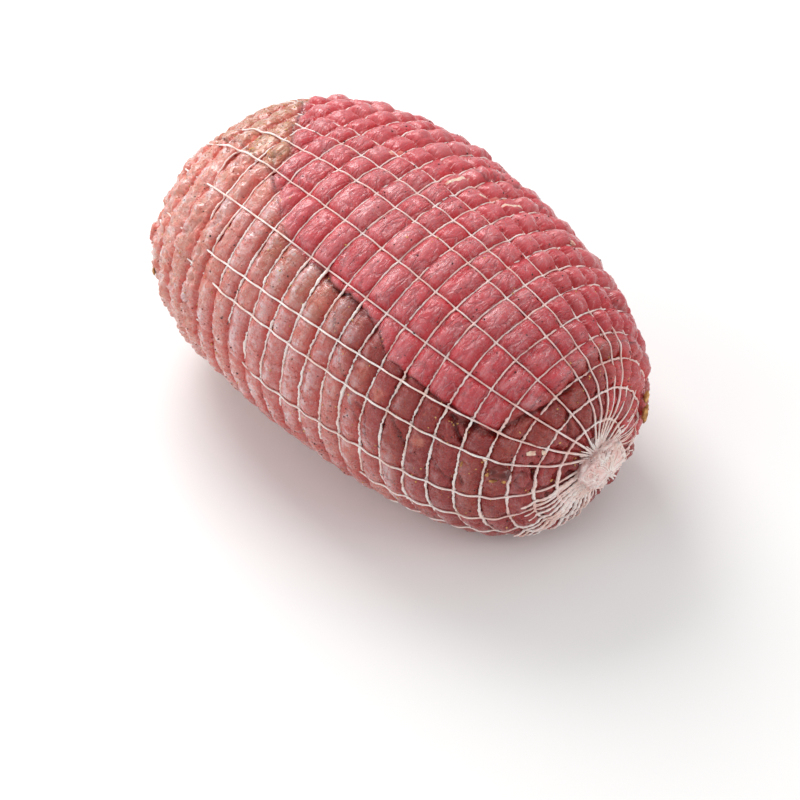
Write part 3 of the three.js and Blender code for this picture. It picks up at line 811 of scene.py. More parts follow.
@dataclass(frozen=True)
class MeatFinish:
    """Wet raw meat, whose colours pass into each other by the shares stored on the mesh, with painted shade in its
    hollows and slits and painted light and sheen on its crowns.
    """

    salmon: Colour = colour("cd9785")
    rose: Colour = colour("c77f79")
    mauve: Colour = colour("b4635f")
    umber: Colour = colour("811c1c")
    bronze: Colour = colour("8f3325")
    plum: Colour = colour("9a3035")
    olive: Colour = colour("ad8060")
    tan: Colour = colour("ae6f5b")
    warm: Colour = colour("c97c68")
    sheen: Colour = colour("d8a2a5")
    fat: Colour = colour("ecd3be")
    crimson: Colour = colour("bf3541")
    blush: Colour = colour("ca666c")
    ruby: Colour = colour("ae2a36")
    # Colours of painted shade, multiplied into grooves and wrinkle lines, and of painted shadow in slits and gaps
    groove_shade: Colour = colour("f86550")
    red_groove_shade: Colour = colour("f07a80")
    shadow: Colour = colour("551d19")
    film: Colour = colour("ead3d0")
    # Whitish colour of the painted sheen on pale and brown meat
    painted_sheen: Colour = colour("dacbcf")
    rust: Colour = colour("a8503c")
    roughness: float = 0.3

    def build(self, name: str) -> bpy.types.Material:
        """Makes the material.

        Args:
            name: The material's name.

        Returns:
            The new material.
        """
        material, graph, shader = principled(
            name,
            Subsurface_Weight=0.45,
            Subsurface_Radius=(1.0, 0.24, 0.18),
            Subsurface_Scale=0.0045,
            Specular_IOR_Level=0.45,
            Coat_Roughness=0.13,
            Coat_IOR=1.42,
        )
        red, brown = graph.attribute("red"), graph.attribute("brown")
        seasoned, hollow = graph.attribute("seasoned"), graph.attribute("hollow")
        slit, tone, hue = graph.attribute("slit"), graph.attribute("tone"), graph.attribute("hue")
        along, far = graph.attribute("along"), graph.attribute("far")
        even = graph.place("unrolled", (1, 1, 1))
        broad = graph.noise(even, 60, 3, 0.4)
        middle = graph.noise(even, 230, 4, 0.6)
        small = graph.noise(even, 640, 3, 0.8)
        fine = graph.noise(even, 1700, 2)
        across = graph.noise(graph.place("unrolled", (90, 760, 760)), 1, 3, 0.5)
        around = graph.noise(graph.place("unrolled", (420, 90, 90)), 1, 3, 0.8)
        folds = graph.wrinkles(graph.place("unrolled", (260, 105, 105)), 0.16)
        creases = graph.wrinkles(graph.place("unrolled", (700, 340, 340)), 0.24)
        # Painted light and shade follow the net's cells: crown is a cell's raised middle, lit is its crown on the side
        # that faces the key light, and deep its hollows, most on the side away from that light
        crown = (1 - hollow) ** 2
        patches = (broad * 0.5 + middle * 0.5).between(0.42, 0.58)
        side = graph.attribute("side")
        lit = crown.clamped() * side.between(0.35, 0.85)
        deep = hollow * (1.5 - side * 0.8)

        # Pale meat: salmon at the rear end, through rose and mauve to brown at the front
        pale = graph.mix((along + (broad - 0.5) * 0.5).between(-0.8, -0.1), self.salmon, self.rose)
        pale = graph.mix((along + (middle - 0.5) * 0.4).between(-0.15, 0.6), pale, self.mauve)
        dusky = (hue + (middle - 0.5) * 2.0).between(0.2, 0.9) * (along + 0.75).clamped() * 0.5
        pale = graph.mix(dusky, pale, self.mauve)
        pale = graph.mix((0 - hue + (broad - 0.5) * 2.0).between(0.2, 0.9) * 0.3, pale, self.salmon)
        tanned = (graph.attribute("tan") + (middle - 0.5) * 1.2).between(0.25, 0.85) * 0.8
        pale = graph.mix(tanned, pale, self.tan)
        orange = (broad * 0.4 + small * 0.6).between(0.5, 0.6) * (along + 0.6).clamped() * crown * 0.6
        pale = graph.mix(orange, pale, self.warm)
        # Painted sheen: whitish patches on the crowns, most of it on the side of each ridge that faces the key light
        sheen_patches = (broad * 0.4 + across * 0.2 + middle * 0.4).between(0.45, 0.59)
        pale = graph.mix(sheen_patches * (crown * 0.3 + lit * 0.85), pale, self.painted_sheen)

        # Brown meat: each cell of the net leans to bronze or to plum, redder on the far side; its crowns get painted
        # light in mauve and painted sheen on the side that faces the key light
        lean = graph.mix((hue + (middle - 0.5) * 1.5).between(0.0, 0.6) * 0.7, self.umber, self.plum)
        lean = graph.mix((0 - hue + (broad - 0.5) * 1.5).between(0.1, 0.7) * 0.6, lean, self.bronze)
        lean = graph.mix(far * (hue + 0.9).clamped() * 0.85, lean, self.blush)
        lean = graph.mix(orange * 0.3, lean, self.warm)
        lean = graph.mix(crown * (0.42 - along * 0.3), lean, self.mauve)
        lean = graph.mix(sheen_patches * lit * (0.6 - along * 0.42), lean, self.painted_sheen)
        pale = graph.mix((brown + (middle - 0.5) * 0.5).between(0.15, 0.95), pale, lean)

        # Red meat: crimson, with lighter blush on the crowns as painted light mixed with random tone, painted
        # highlights on the side of each cell that faces the key light, and deepest towards the front
        meat = graph.mix((crown * 0.6 + tone * 0.3 + broad * 0.4).between(0.2, 0.95), self.crimson, self.blush)
        meat = graph.mix((along + (broad - 0.5) * 0.6).between(0.35, 0.75) * 0.6, meat, self.ruby)
        painted_highlights = around.between(0.42, 0.66) * (lit * 0.4 + crown * 0.15)
        meat = graph.mix(painted_highlights, meat, self.sheen)
        olive = graph.mix((middle * 0.6 + small * 0.4).between(0.42, 0.6) * 0.7, self.olive, self.salmon)

        base = graph.mix(seasoned, pale, olive)
        base = graph.mix(red, base, meat)
        spotted = (graph.attribute("warm") + (middle - 0.5) * 1.8).between(0.35, 1.1) * 0.7
        base = graph.mix(spotted, base, self.warm)
        filmed = (graph.attribute("fat") * 1.3 + (small - 0.5) * 1.2).between(0.35, 0.8)
        base = graph.mix(filmed, base, self.fat)
        # A faint pale film, most on cells that bulge out: partly a real film, partly painted sheen on their raised
        # middles
        base = graph.mix((tone - small + 0.3).between(-0.1, 0.9) * (0.12 - brown * 0.08), base, self.film)

        # Tiny pale and rusty flecks, fewer of them on the red meat
        flecks = graph.noise(graph.place("unrolled", (1050, 1050, 1050)), 1, 1)
        rusty = graph.noise(graph.place("unrolled", (780, 780, 780)), 1, 1)
        base = graph.mix(flecks.between(0.63, 0.73) * (0.4 - red * 0.22 - brown * 0.32).clamped(), base, self.film)
        base = graph.mix(rusty.between(0.62, 0.7) * (1 - red * 0.85) * 0.6, base, self.rust)

        # Painted shade darkens the grooves, most on a cell's side away from the key light, and the wrinkle lines;
        # painted highlights lie on the red meat's folds, and painted shadow in the slits and gaps
        near = (1 - far) * patches
        tint = graph.mix(red, self.groove_shade, self.red_groove_shade)
        base = graph.mix((deep * (1 + brown * 0.3)).clamped() ** 0.9, base, tint, "MULTIPLY")
        base = graph.mix((1 - red) * folds * 0.25 + creases * 0.08, base, tint, "MULTIPLY")
        base = graph.mix(folds * red * (near * 0.25 + 0.03), base, self.sheen)
        base = graph.mix((slit * 1.2).clamped() * 0.62, base, self.shadow)

        lines = folds * (red * near * 0.7 + 0.14) + creases * (red * near * 0.12 + 0.08)
        grain = (1 - red) * across * 0.55 + red * around * 0.32
        height = grain + middle * (0.42 - red * 0.18) + small * (0.22 - red * 0.13) + fine * (0.13 - red * 0.06) - lines
        bump = graph.node("ShaderNodeBump", {}, {"Strength": 0.8, "Distance": 0.0013, "Height": height})
        rough = self.roughness + (small - 0.5) * 0.5 + hollow * 0.12
        graph.tree.links.new(base.socket, shader.inputs["Base Color"])
        graph.tree.links.new(rough.socket, shader.inputs["Roughness"])
        graph.tree.links.new(bump.outputs[0], shader.inputs["Normal"])
        wet = middle.between(0.38, 0.6) * (0.95 - red * 0.45 - brown * 0.6)
        graph.tree.links.new(wet.socket, shader.inputs["Coat Weight"])
        return material


@dataclass(frozen=True)
class ThreadFinish:
    """White elastic thread, wet, and stained pink where it lies in red meat."""

    white: Colour = colour("faf2ee")
    stain: Colour = colour("e3a59f")
    warm: Colour = colour("e8c0a8")

    def build(self, name: str) -> bpy.types.Material:
        """Makes the material.

        Args:
            name: The material's name.

        Returns:
            The new material.
        """
        material, graph, shader = principled(
            name, Subsurface_Weight=0.15, Subsurface_Radius=(1.0, 0.6, 0.5), Subsurface_Scale=0.001
        )
        where = graph.node("ShaderNodeTexCoord").outputs["Object"]
        stained = graph.attribute("stain")
        patches = graph.noise(where, 110, 3)
        spots = graph.noise(where, 330, 2)
        knobs = graph.noise(where, 1500, 2)
        base = graph.mix(patches.between(0.4, 0.7) * 0.5, self.white, self.warm)
        pink = stained + (patches - 0.5) * 0.8 + (spots - 0.5) * 1.2
        base = graph.mix(pink.clamped() * 0.8, base, self.stain)
        base = graph.mix((1 - knobs).between(0.45, 0.8) * 0.35, base, self.stain)
        bump = graph.node("ShaderNodeBump", {}, {"Strength": 0.6, "Distance": 0.0004, "Height": knobs})
        graph.tree.links.new(base.socket, shader.inputs["Base Color"])
        graph.tree.links.new((0.55 + knobs * 0.2).socket, shader.inputs["Roughness"])
        graph.tree.links.new(bump.outputs[0], shader.inputs["Normal"])
        return material


@dataclass(frozen=True)
class SpeckFinish:
    """A small dry or oily grain of seasoning, in two shades."""

    light: Colour
    dark: Colour
    roughness: float = 0.5
    grain: float = 900.0

    def build(self, name: str) -> bpy.types.Material:
        """Makes the material.

        Args:
            name: The material's name.

        Returns:
            The new material.
        """
        material, graph, shader = principled(name)
        where = graph.node("ShaderNodeTexCoord").outputs["Object"]
        shade = graph.noise(where, self.grain, 2)
        base = graph.mix(shade.between(0.35, 0.65), self.light, self.dark)
        bump = graph.node("ShaderNodeBump", {}, {"Strength": 0.5, "Distance": 0.0003, "Height": shade})
        graph.tree.links.new(base.socket, shader.inputs["Base Color"])
        graph.tree.links.new((self.roughness + (shade - 0.5) * 0.3).socket, shader.inputs["Roughness"])
        graph.tree.links.new(bump.outputs[0], shader.inputs["Normal"])
        return material


@dataclass
class Roll:
    """The four pieces of meat, cut from one fine grid that covers the roll."""

    body: Body
    relief: Relief
    row_step: float = 0.8
    columns: int = 480
    first_row: float = 1.4
    first_angle: float = FAR_SEAM
    pole_depth: float = 1.6
    axis_share: float = 0.9

    def grid(self) -> tuple[Array, Array]:
        """Distances of the rows and angles of the columns."""
        last = self.body.length - self.first_row
        rows = np.linspace(self.first_row, last, round((last - self.first_row) / self.row_step))
        return rows, self.first_angle + 360 * np.arange(self.columns) / self.columns

    def build(self) -> dict[Meat, bpy.types.Object]:
        """Makes the four pieces.

        Returns:
            The objects by their meat.
        """
        rows, angles = self.grid()
        arc, degrees = (a.ravel() for a in np.meshgrid(rows, angles, indexing="ij"))
        surface = self.relief.surface(arc, degrees)
        points = self.body.at_depth(arc, degrees, surface.depth)
        stored = self.stored_values(arc, degrees, surface)
        poles = self.poles(points)
        shares = self.body.share_at(rows) * self.axis_share
        axis = np.stack([shares * self.body.half_length, np.full_like(shares, self.body.axis_side), self.body.axis(shares)], axis=1)
        points = np.concatenate([points, poles, axis])
        cells, owners = self.cells(len(rows), surface.shares.owner)
        pieces = {}
        for number, meat in enumerate((Meat.PALE, Meat.SEASONED, Meat.RED, Meat.BROWN)):
            outside = [cells[i] for i in np.flatnonzero(owners == number)]
            pieces[meat] = self.piece(meat.value, points, outside, stored, len(rows))
        return pieces

    def stored_values(self, arc: Array, degrees: Array, surface: Surface) -> dict[str, Array]:
        """What the finish reads at each place.

        Args:
            arc: Distances along the outline.
            degrees: Angles round the roll.
            surface: The worked-out surface.

        Returns:
            Values by their attribute's name, with two more for the poles.
        """
        shares = surface.shares
        named = {
            "red": shares.red, "brown": shares.brown, "seasoned": shares.seasoned,
            "hollow": surface.hollow, "slit": np.maximum(shares.slit * 0.8, surface.gap), "tone": surface.tone,
            "hue": surface.hue, "along": self.body.share_at(arc), "far": self.far_side(degrees),
            "tan": self.tanned(arc, degrees), "side": surface.side,
        }  # fmt: skip
        named["fat"], named["warm"] = self.relief.lobes.stains(arc, degrees)
        named["unrolled"] = self.body.unrolled(arc, degrees) * METRES
        ends = [self.columns // 2, len(arc) - self.columns // 2]
        return {name: np.concatenate([values, values[ends]]) for name, values in named.items()}

    @staticmethod
    def far_side(degrees: Array) -> Array:
        """Is 1 on the far side of the roll and 0 on the near side."""
        turned = (degrees - FAR_SEAM) % 360 + FAR_SEAM
        return soft_step(turned, 88, 66)

    def tanned(self, arc: Array, degrees: Array) -> Array:
        """How much the pale meat is browned, beside the seam under the red meat."""
        x = self.body.share_at(arc) * self.body.half_length
        below = degrees - self.relief.seams.line(self.relief.seams.top, x)
        beside = soft_step(below, -2, 3) * soft_step(below, 24, 8)
        return beside * soft_step(x, -48, -22) * soft_step(x, 60, 40)

    def poles(self, points: Array) -> Array:
        """The two end points, level with the rows beside them."""
        front, rear = points[: self.columns].mean(axis=0), points[-self.columns :].mean(axis=0)
        return np.array([front + [0.1, 0, 0], rear - [0.1, 0, 0]])

    def cells(self, row_count: int, owner: Array) -> tuple[list[tuple[int, ...]], Array]:
        """Faces of the grid and the meat that each belongs to.

        Args:
            row_count: Number of rows.
            owner: The meat at each vertex of the grid.

        Returns:
            The faces, and a number for each face's meat.
        """
        count = self.columns
        r, c = (a.ravel() for a in np.meshgrid(np.arange(row_count - 1), np.arange(count), indexing="ij"))
        d = (c + 1) % count
        quads = np.stack([r * count + c, (r + 1) * count + c, (r + 1) * count + d, r * count + d], axis=1)
        front, rear = row_count * count, row_count * count + 1
        last = (row_count - 1) * count
        cells = [tuple(q) for q in quads.tolist()]
        cells += [(front, k, (k + 1) % count) for k in range(count)]
        cells += [(last + (k + 1) % count, last + k, rear) for k in range(count)]
        owners = np.concatenate([owner[quads[:, 0]], owner[:count], owner[last : last + count]])
        return cells, owners

    def piece(self, name: str, points: Array, outside: list, stored: dict[str, Array], row_count: int) -> bpy.types.Object:
        """One piece of meat: its outside, and walls from its edge to the roll's axis.

        Args:
            name: The piece's name.
            points: All vertices: the grid, the two poles and the axis.
            outside: The piece's faces on the outside.
            stored: What the finish reads, for the grid and the poles.
            row_count: Number of rows.

        Returns:
            The new object.
        """
        pole = row_count * self.columns
        row_of = np.concatenate([np.repeat(np.arange(row_count), self.columns), [0, row_count - 1]])
        edges = {(f[i], f[(i + 1) % len(f)]) for f in outside for i in range(len(f))}
        walls = []
        for a, b in edges:
            if (b, a) in edges:
                continue
            inner_a, inner_b = (pole + 2 + row_of[v] for v in (a, b))
            walls.append((b, a, inner_a) if inner_a == inner_b else (b, a, inner_a, inner_b))
        faces = outside + walls
        used = np.unique(np.concatenate([np.ravel(f) for f in faces]))
        number = np.zeros(len(points), int)
        number[used] = np.arange(len(used))
        mesh = make_mesh(name + "_look", points[used], [number[list(f)].tolist() for f in faces])
        for key, values in stored.items():
            filler = np.zeros((len(points) - len(values), *values.shape[1:]))
            store(mesh, key, np.concatenate([values, filler])[used])
        return show(name + "_look", mesh)


def cord_tree() -> bpy.types.GeometryNodeTree:
    """Geometry nodes that turn guide lines into round cords.

    Returns:
        The new tree, with inputs for its lines, sides, thickness and finish.
    """
    tree = bpy.data.node_groups.new("cords_along_lines", "GeometryNodeTree")
    face = tree.interface
    face.new_socket("Lines", in_out="INPUT", socket_type="NodeSocketGeometry")
    face.new_socket("Sides", in_out="INPUT", socket_type="NodeSocketInt")
    face.new_socket("Thickness", in_out="INPUT", socket_type="NodeSocketFloat")
    face.new_socket("Finish", in_out="INPUT", socket_type="NodeSocketMaterial")
    face.new_socket("Cords", in_out="OUTPUT", socket_type="NodeSocketGeometry")
    graph = Graph(tree)
    given = graph.node("NodeGroupInput").outputs
    curves = graph.node("GeometryNodeMeshToCurve", {}, {"Mesh": given["Lines"]}).outputs[0]
    ring = graph.node("GeometryNodeCurvePrimitiveCircle", {}, {"Resolution": given["Sides"], "Radius": 1.0}).outputs[0]
    radius = graph.value("GeometryNodeInputNamedAttribute", {"data_type": "FLOAT"}, {"Name": "radius_here"})
    scale = radius * Value(graph, given["Thickness"])
    inputs = {"Curve": curves, "Profile Curve": ring, "Scale": scale, "Fill Caps": True}
    cords = graph.node("GeometryNodeCurveToMesh", {}, inputs).outputs[0]
    smooth = graph.node("GeometryNodeSetShadeSmooth", {}, {"Geometry": cords}).outputs[0]
    real = graph.node("GeometryNodeRealizeInstances", {}, {"Geometry": smooth}).outputs[0]
    dressed = graph.node("GeometryNodeSetMaterial", {}, {"Geometry": real, "Material": given["Finish"]}).outputs[0]
    graph.node("NodeGroupOutput", {}, {"Cords": dressed})
    return tree


def scatter_tree() -> bpy.types.GeometryNodeTree:
    """Geometry nodes that scatter small flattened grains over a surface.

    Returns:
        The new tree, with inputs for the surface, number, sizes, seed and finish.
    """
    tree = bpy.data.node_groups.new("grains_on_surface", "GeometryNodeTree")
    face = tree.interface
    face.new_socket("Surface", in_out="INPUT", socket_type="NodeSocketGeometry")
    for name, kind in (("Grains per Area", "Float"), ("Sides", "Int"), ("Smallest", "Float"), ("Largest", "Float"), ("Seed", "Int")):
        face.new_socket(name, in_out="INPUT", socket_type="NodeSocket" + kind)
    face.new_socket("Finish", in_out="INPUT", socket_type="NodeSocketMaterial")
    face.new_socket("Grains", in_out="OUTPUT", socket_type="NodeSocketGeometry")
    graph = Graph(tree)
    given = graph.node("NodeGroupInput").outputs
    share = graph.value("GeometryNodeInputNamedAttribute", {"data_type": "FLOAT"}, {"Name": "grains"})
    density = share * Value(graph, given["Grains per Area"])
    spread = graph.node("GeometryNodeDistributePointsOnFaces", {}, {"Mesh": given["Surface"], "Density": density, "Seed": given["Seed"]})
    ball = graph.node("GeometryNodeMeshUVSphere", {}, {"Segments": given["Sides"], "Rings": 5, "Radius": 1.0}).outputs[0]
    random = {"data_type": "FLOAT"}
    size = graph.node("FunctionNodeRandomValue", random, {2: given["Smallest"], 3: given["Largest"], "Seed": given["Seed"]}).outputs[1]
    length = graph.node("FunctionNodeRandomValue", random, {2: 0.8, 3: 1.35, "Seed": 5}).outputs[1]
    stretch = graph.node("ShaderNodeCombineXYZ", {}, {"X": length, "Y": 0.9, "Z": 0.65}).outputs[0]
    scale = graph.node("ShaderNodeVectorMath", {"operation": "SCALE"}, {0: stretch, "Scale": size}).outputs[0]
    turn = graph.node("FunctionNodeRandomValue", {"data_type": "FLOAT_VECTOR"}, {0: (-0.3, -0.3, 0.0), 1: (0.3, 0.3, 6.3), "Seed": 9}).outputs[0]
    rotation = graph.node("FunctionNodeRotateRotation", {"rotation_space": "LOCAL"}, {0: spread.outputs["Rotation"], 1: turn}).outputs[0]
    inputs = {"Points": spread.outputs["Points"], "Instance": ball, "Rotation": rotation, "Scale": scale}
    grains = graph.node("GeometryNodeInstanceOnPoints", {}, inputs).outputs[0]
    real = graph.node("GeometryNodeRealizeInstances", {}, {"Geometry": grains}).outputs[0]
    bent = graph.node("ShaderNodeTexNoise", {}, {"Scale": 1400.0, "Detail": 1.0}).outputs["Color"]
    centred = graph.node("ShaderNodeVectorMath", {"operation": "SUBTRACT"}, {0: bent, 1: (0.5, 0.5, 0.5)}).outputs[0]
    offset = graph.node("ShaderNodeVectorMath", {"operation": "SCALE"}, {0: centred, "Scale": 0.0007}).outputs[0]
    uneven = graph.node("GeometryNodeSetPosition", {}, {"Geometry": real, "Offset": offset}).outputs[0]
    smooth = graph.node("GeometryNodeSetShadeSmooth", {}, {"Geometry": uneven}).outputs[0]
    dressed = graph.node("GeometryNodeSetMaterial", {}, {"Geometry": smooth, "Material": given["Finish"]}).outputs[0]
    graph.node("NodeGroupOutput", {}, {"Grains": dressed})
    return tree


def run_tree(host: bpy.types.Object, tree: bpy.types.GeometryNodeTree, values: dict) -> bpy.types.Object:
    """Runs geometry nodes on an object and keeps the result as its plain mesh.

    Args:
        host: The object whose mesh the tree reads.
        tree: The tree.
        values: Values of the tree's inputs by name.

    Returns:
        The same object, with the new mesh and no modifier.
    """
    modifier = host.modifiers.new("made", "NODES")
    modifier.node_group = tree
    names = {item.name: item.identifier for item in tree.interface.items_tree if item.in_out == "INPUT"}
    for name, value in values.items():
        modifier[names[name]] = value
    graph = bpy.context.evaluated_depsgraph_get()
    mesh = bpy.data.meshes.new_from_object(host.evaluated_get(graph))
    host.modifiers.clear()
    old, host.data = host.data, mesh
    bpy.data.meshes.remove(old)
    mesh.name = host.name
    return host


@dataclass
class Cord:
    """One guide line for a cord: its points and radii in millimetres, and how stained it is."""

    points: Array
    radii: Array
    closed: bool = False
    stain: Array | float = 0.25


def guide_object(name: str, cords: Iterable[Cord]) -> bpy.types.Object:
    """Puts guide lines in one mesh of edges.

    Args:
        name: The object's name.
        cords: The lines.

    Returns:
        The new object, with each point's radius stored in metres.
    """
    points, radii, stains, edges, start = [], [], [], [], 0
    for cord in cords:
        count = len(cord.points)
        edges += [(start + i, start + i + 1) for i in range(count - 1)]
        if cord.closed:
            edges.append((start + count - 1, start))
        points.append(cord.points)
        radii.append(cord.radii)
        stains.append(np.broadcast_to(cord.stain, count))
        start += count
    mesh = bpy.data.meshes.new(name)
    mesh.from_pydata((np.concatenate(points) * METRES).tolist(), edges, [])
    store(mesh, "radius_here", np.concatenate(radii) * METRES)
    store(mesh, "stain", np.concatenate(stains))
    return show(name, mesh)


def smoothed(values: Array, width: int, closed: bool) -> Array:
    """Averages a row of numbers over a width of neighbours."""
    kernel = np.hanning(width + 2)[1:-1]
    padded = np.pad(values, width // 2, mode="wrap" if closed else "edge")
    return np.convolve(padded, kernel / kernel.sum(), "valid")[: len(values)]


@dataclass
class Net:
    """The elastic net: rings, strands and the knots where they cross. Sizes in millimetres."""

    body: Body
    lattice: Lattice
    relief: Relief
    ring_radius: float = 0.43
    strand_radius: float = 0.42
    step: float = 0.7
    ring_lift: float = 0.4
    pale_lift: float = 0.35
    strand_lift: float = 0.45
    ring_jitter: float = 0.32
    strand_dip: float = 1.0
    strand_end: float = 6.0
    lowest: float = 0.5
    sides: int = 5
    seed: int = 7

    def sunk(self, arc: Array, degrees: Array) -> Array:
        """How far the meat has closed over the net, from 0 to 1."""
        turned = (degrees - FAR_SEAM) % 360 + FAR_SEAM
        start = np.interp(turned, [75, 90, 97, 111, 127, 145, 155, 178, 186, 198, 215], [206, 222, 240, 240, 220, 204, 192, 168, 150, 105, 105])
        near = soft_step(turned, 70, 84) * soft_step(turned, 235, 215)
        return near * soft_step(arc - start, -4, 6) * soft_step(arc, 262, 250)

    @staticmethod
    def stain(arc: Array, surface: Surface) -> Array:
        """How stained the net is: little on pale meat, more on red meat and on the front cap."""
        return 0.1 + 0.35 * surface.shares.red + 0.4 * soft_step(arc, 62, 44) * soft_step(arc, 8, 20)

    def cord_depth(self, arc: Array, degrees: Array, lift: float, width: int, closed: bool) -> Array:
        """Depth of a cord that lies taut on the meat.

        Args:
            arc: Distances along the outline.
            degrees: Angles round the roll.
            lift: How far its middle lies above the meat.
            width: Number of points that the taut cord spans.
            closed: Whether it goes all the way round.

        Returns:
            The depth of its middle at each point.
        """
        surface = self.relief.surface(arc, degrees)
        pale = 1 - np.clip(surface.shares.red + surface.shares.seasoned, 0, 1)
        depth = smoothed(surface.smooth_depth - self.pale_lift * pale, width, closed) - lift
        ends = soft_step(arc, 40, 20) + soft_step(arc, self.body.length - 40, self.body.length - 20)
        return depth * (1 - ends) + (depth * 0.5 - 0.5) * ends + 1.9 * self.sunk(arc, degrees)

    def rings(self) -> list[Cord]:
        """Guide lines of the rings, knobbly and thicker in places."""
        cords, noise, random = [], Noise(self.seed), np.random.default_rng(self.seed)
        for number, mean in enumerate(self.lattice.ring_arcs):
            around = 2 * np.pi * float(self.body.radius_at(mean))
            count = max(int(around / self.step), 60)
            degrees = np.arange(count) * 360 / count
            arc = mean + self.lattice.ring_shift(np.full(count, mean), degrees)
            own = self.body.unrolled(arc, degrees) + number * 50
            pale = soft_step(degrees, 118, 140) * soft_step(degrees, 240, 200)
            cap = soft_step(arc, 60, 35)
            rough = 0.35 + 0.65 * np.maximum(pale, cap)
            depth = self.cord_depth(arc, degrees, self.ring_lift, 7, True)
            arc = arc + self.ring_jitter * rough * noise.at(own + 9, 3.2, 3)
            arc = arc + rough * random.uniform(-0.2, 0.2, count)
            points = self.body.at_depth(arc, degrees, depth + 0.12 * noise.at(own + 70, 4, 2), self.lowest)
            knobs = (0.55 * noise.at(own, 2.2, 2) + random.uniform(-0.36, 0.36, count)) * rough
            swelling = soft_step(noise.at(own, 13), 0.22, 0.7) * (0.15 + 0.85 * pale)
            low = soft_step(degrees, 150, 175) * soft_step(degrees, 330, 300)
            radii = self.ring_radius * (1 + knobs + 0.8 * swelling + 0.15 * pale + 0.3 * low + 0.12 * cap)
            stain = self.stain(arc, self.relief.surface(arc, degrees)) - 0.3 * swelling
            cords.append(Cord(points, np.maximum(radii, 0.2), True, stain))
        return cords

    def gathers(self) -> list[Cord]:
        """Guide lines of the extra threads that fan out from the front tuft."""
        random, cords = np.random.default_rng(self.seed + 2), []
        fans = (
            (15, (-40, 62), (18, 33), (0.2, 0.34)),
            (16, (186, 262), (28, 50), (0.4, 0.75)),
            (15, (266, 322), (17, 34), (0.35, 0.6)),
            (16, (64, 186), (9, 15), (0.25, 0.5)),
        )
        for number, angles, ends, sizes in fans:
            for angle in np.linspace(*angles, number):
                arc = np.arange(2.5, random.uniform(*ends), 0.8)
                sway = random.uniform(-9, 9) * np.linspace(1, 0, len(arc)) ** 2 + random.uniform(-3.5, 3.5)
                wave = random.uniform(0.2, 1.1) * np.sin(arc * random.uniform(0.25, 0.5) + random.uniform(0, 6))
                degrees = angle + sway + wave * 8 / np.maximum(arc, 8)
                loose = random.uniform(0, 0.7) * np.linspace(1, 0, len(arc))
                depth = self.cord_depth(arc, degrees, self.strand_lift, 5, False) - loose
                points = self.body.at_depth(arc, degrees, depth, self.lowest)
                taper = np.linspace(1.7, 0.65, len(arc)) * random.uniform(*sizes)
                cords.append(Cord(points, taper * (1 + 0.25 * np.sin(arc * 2.3 + angle))))
        return cords

    def strands(self) -> list[Cord]:
        """Guide lines of the strands, taut from ridge to ridge and thicker towards both ends."""
        cords, noise = [], Noise(self.seed + 1)
        arc = np.arange(self.strand_end, self.body.length - self.strand_end, self.step)
        angles = self.lattice.strand_angles(arc)
        reach = round(6 / self.step)
        for number in range(angles.shape[1]):
            degrees = angles[:, number]
            surface = self.relief.surface(arc, degrees)
            true = surface.depth - self.strand_lift
            depth = np.minimum(self.cord_depth(arc, degrees, self.strand_lift, 5, False), true + 1.9 * self.sunk(arc, degrees))
            padded = np.pad(depth, reach, mode="edge")
            crest = np.min([padded[k : k + len(depth)] for k in range(2 * reach + 1)], axis=0)
            depth = smoothed(np.minimum(depth, smoothed(crest, 9, False) + self.strand_dip), 7, False)
            points = self.body.at_depth(arc, degrees, depth, self.lowest)
            knobs = noise.at(points + number * 50, 3.0, 2)
            ends = soft_step(arc, 55, 18) + soft_step(arc, self.body.length - 55, self.body.length - 18)
            radii = self.strand_radius * (1 + 0.25 * knobs + 0.15 * ends)
            cords.append(Cord(points, radii, stain=self.stain(arc, surface)))
        return cords

    def knots(self) -> list[Cord]:
        """Short thick guide lines where rings and strands cross."""
        cords, random = [], np.random.default_rng(self.seed)
        arcs = np.array(self.lattice.ring_arcs)
        angles = self.lattice.strand_angles(arcs)
        for ring, mean in enumerate(arcs):
            for degrees in angles[ring]:
                arc = mean + self.lattice.ring_shift(np.array([mean]), np.array([degrees]))
                reach = np.linspace(-0.75, 0.75, 5)
                turn = np.degrees(reach / max(float(self.body.radius_at(mean)), 1)) * random.uniform(-1, 1)
                arc_here, degrees_here = arc + reach, degrees + turn
                depth = self.cord_depth(np.repeat(arc, 5), np.full(5, degrees), self.ring_lift, 1, False) - 0.15
                points = self.body.at_depth(arc_here, degrees_here, depth, self.lowest)
                bulb = np.array([0.35, 0.85, 1.0, 0.85, 0.35]) * random.uniform(0.62, 0.85)
                cords.append(Cord(points, bulb))
        return cords

    def build(self, tree: bpy.types.GeometryNodeTree, material: bpy.types.Material) -> None:
        """Makes the rings, strands and knots.

        Args:
            tree: The geometry nodes that make cords.
            material: The thread's finish.
        """
        for name, cords, stands in (
            ("net_rings", self.rings(), "net"),
            ("net_strands", self.strands(), None),
            ("net_knots", self.knots(), None),
            ("net_gathers", self.gathers(), None),
        ):
            values = {"Sides": self.sides, "Thickness": 1.0, "Finish": material}
            piece = run_tree(guide_object(name, cords), tree, values)
            fit_out(piece, material, stands)


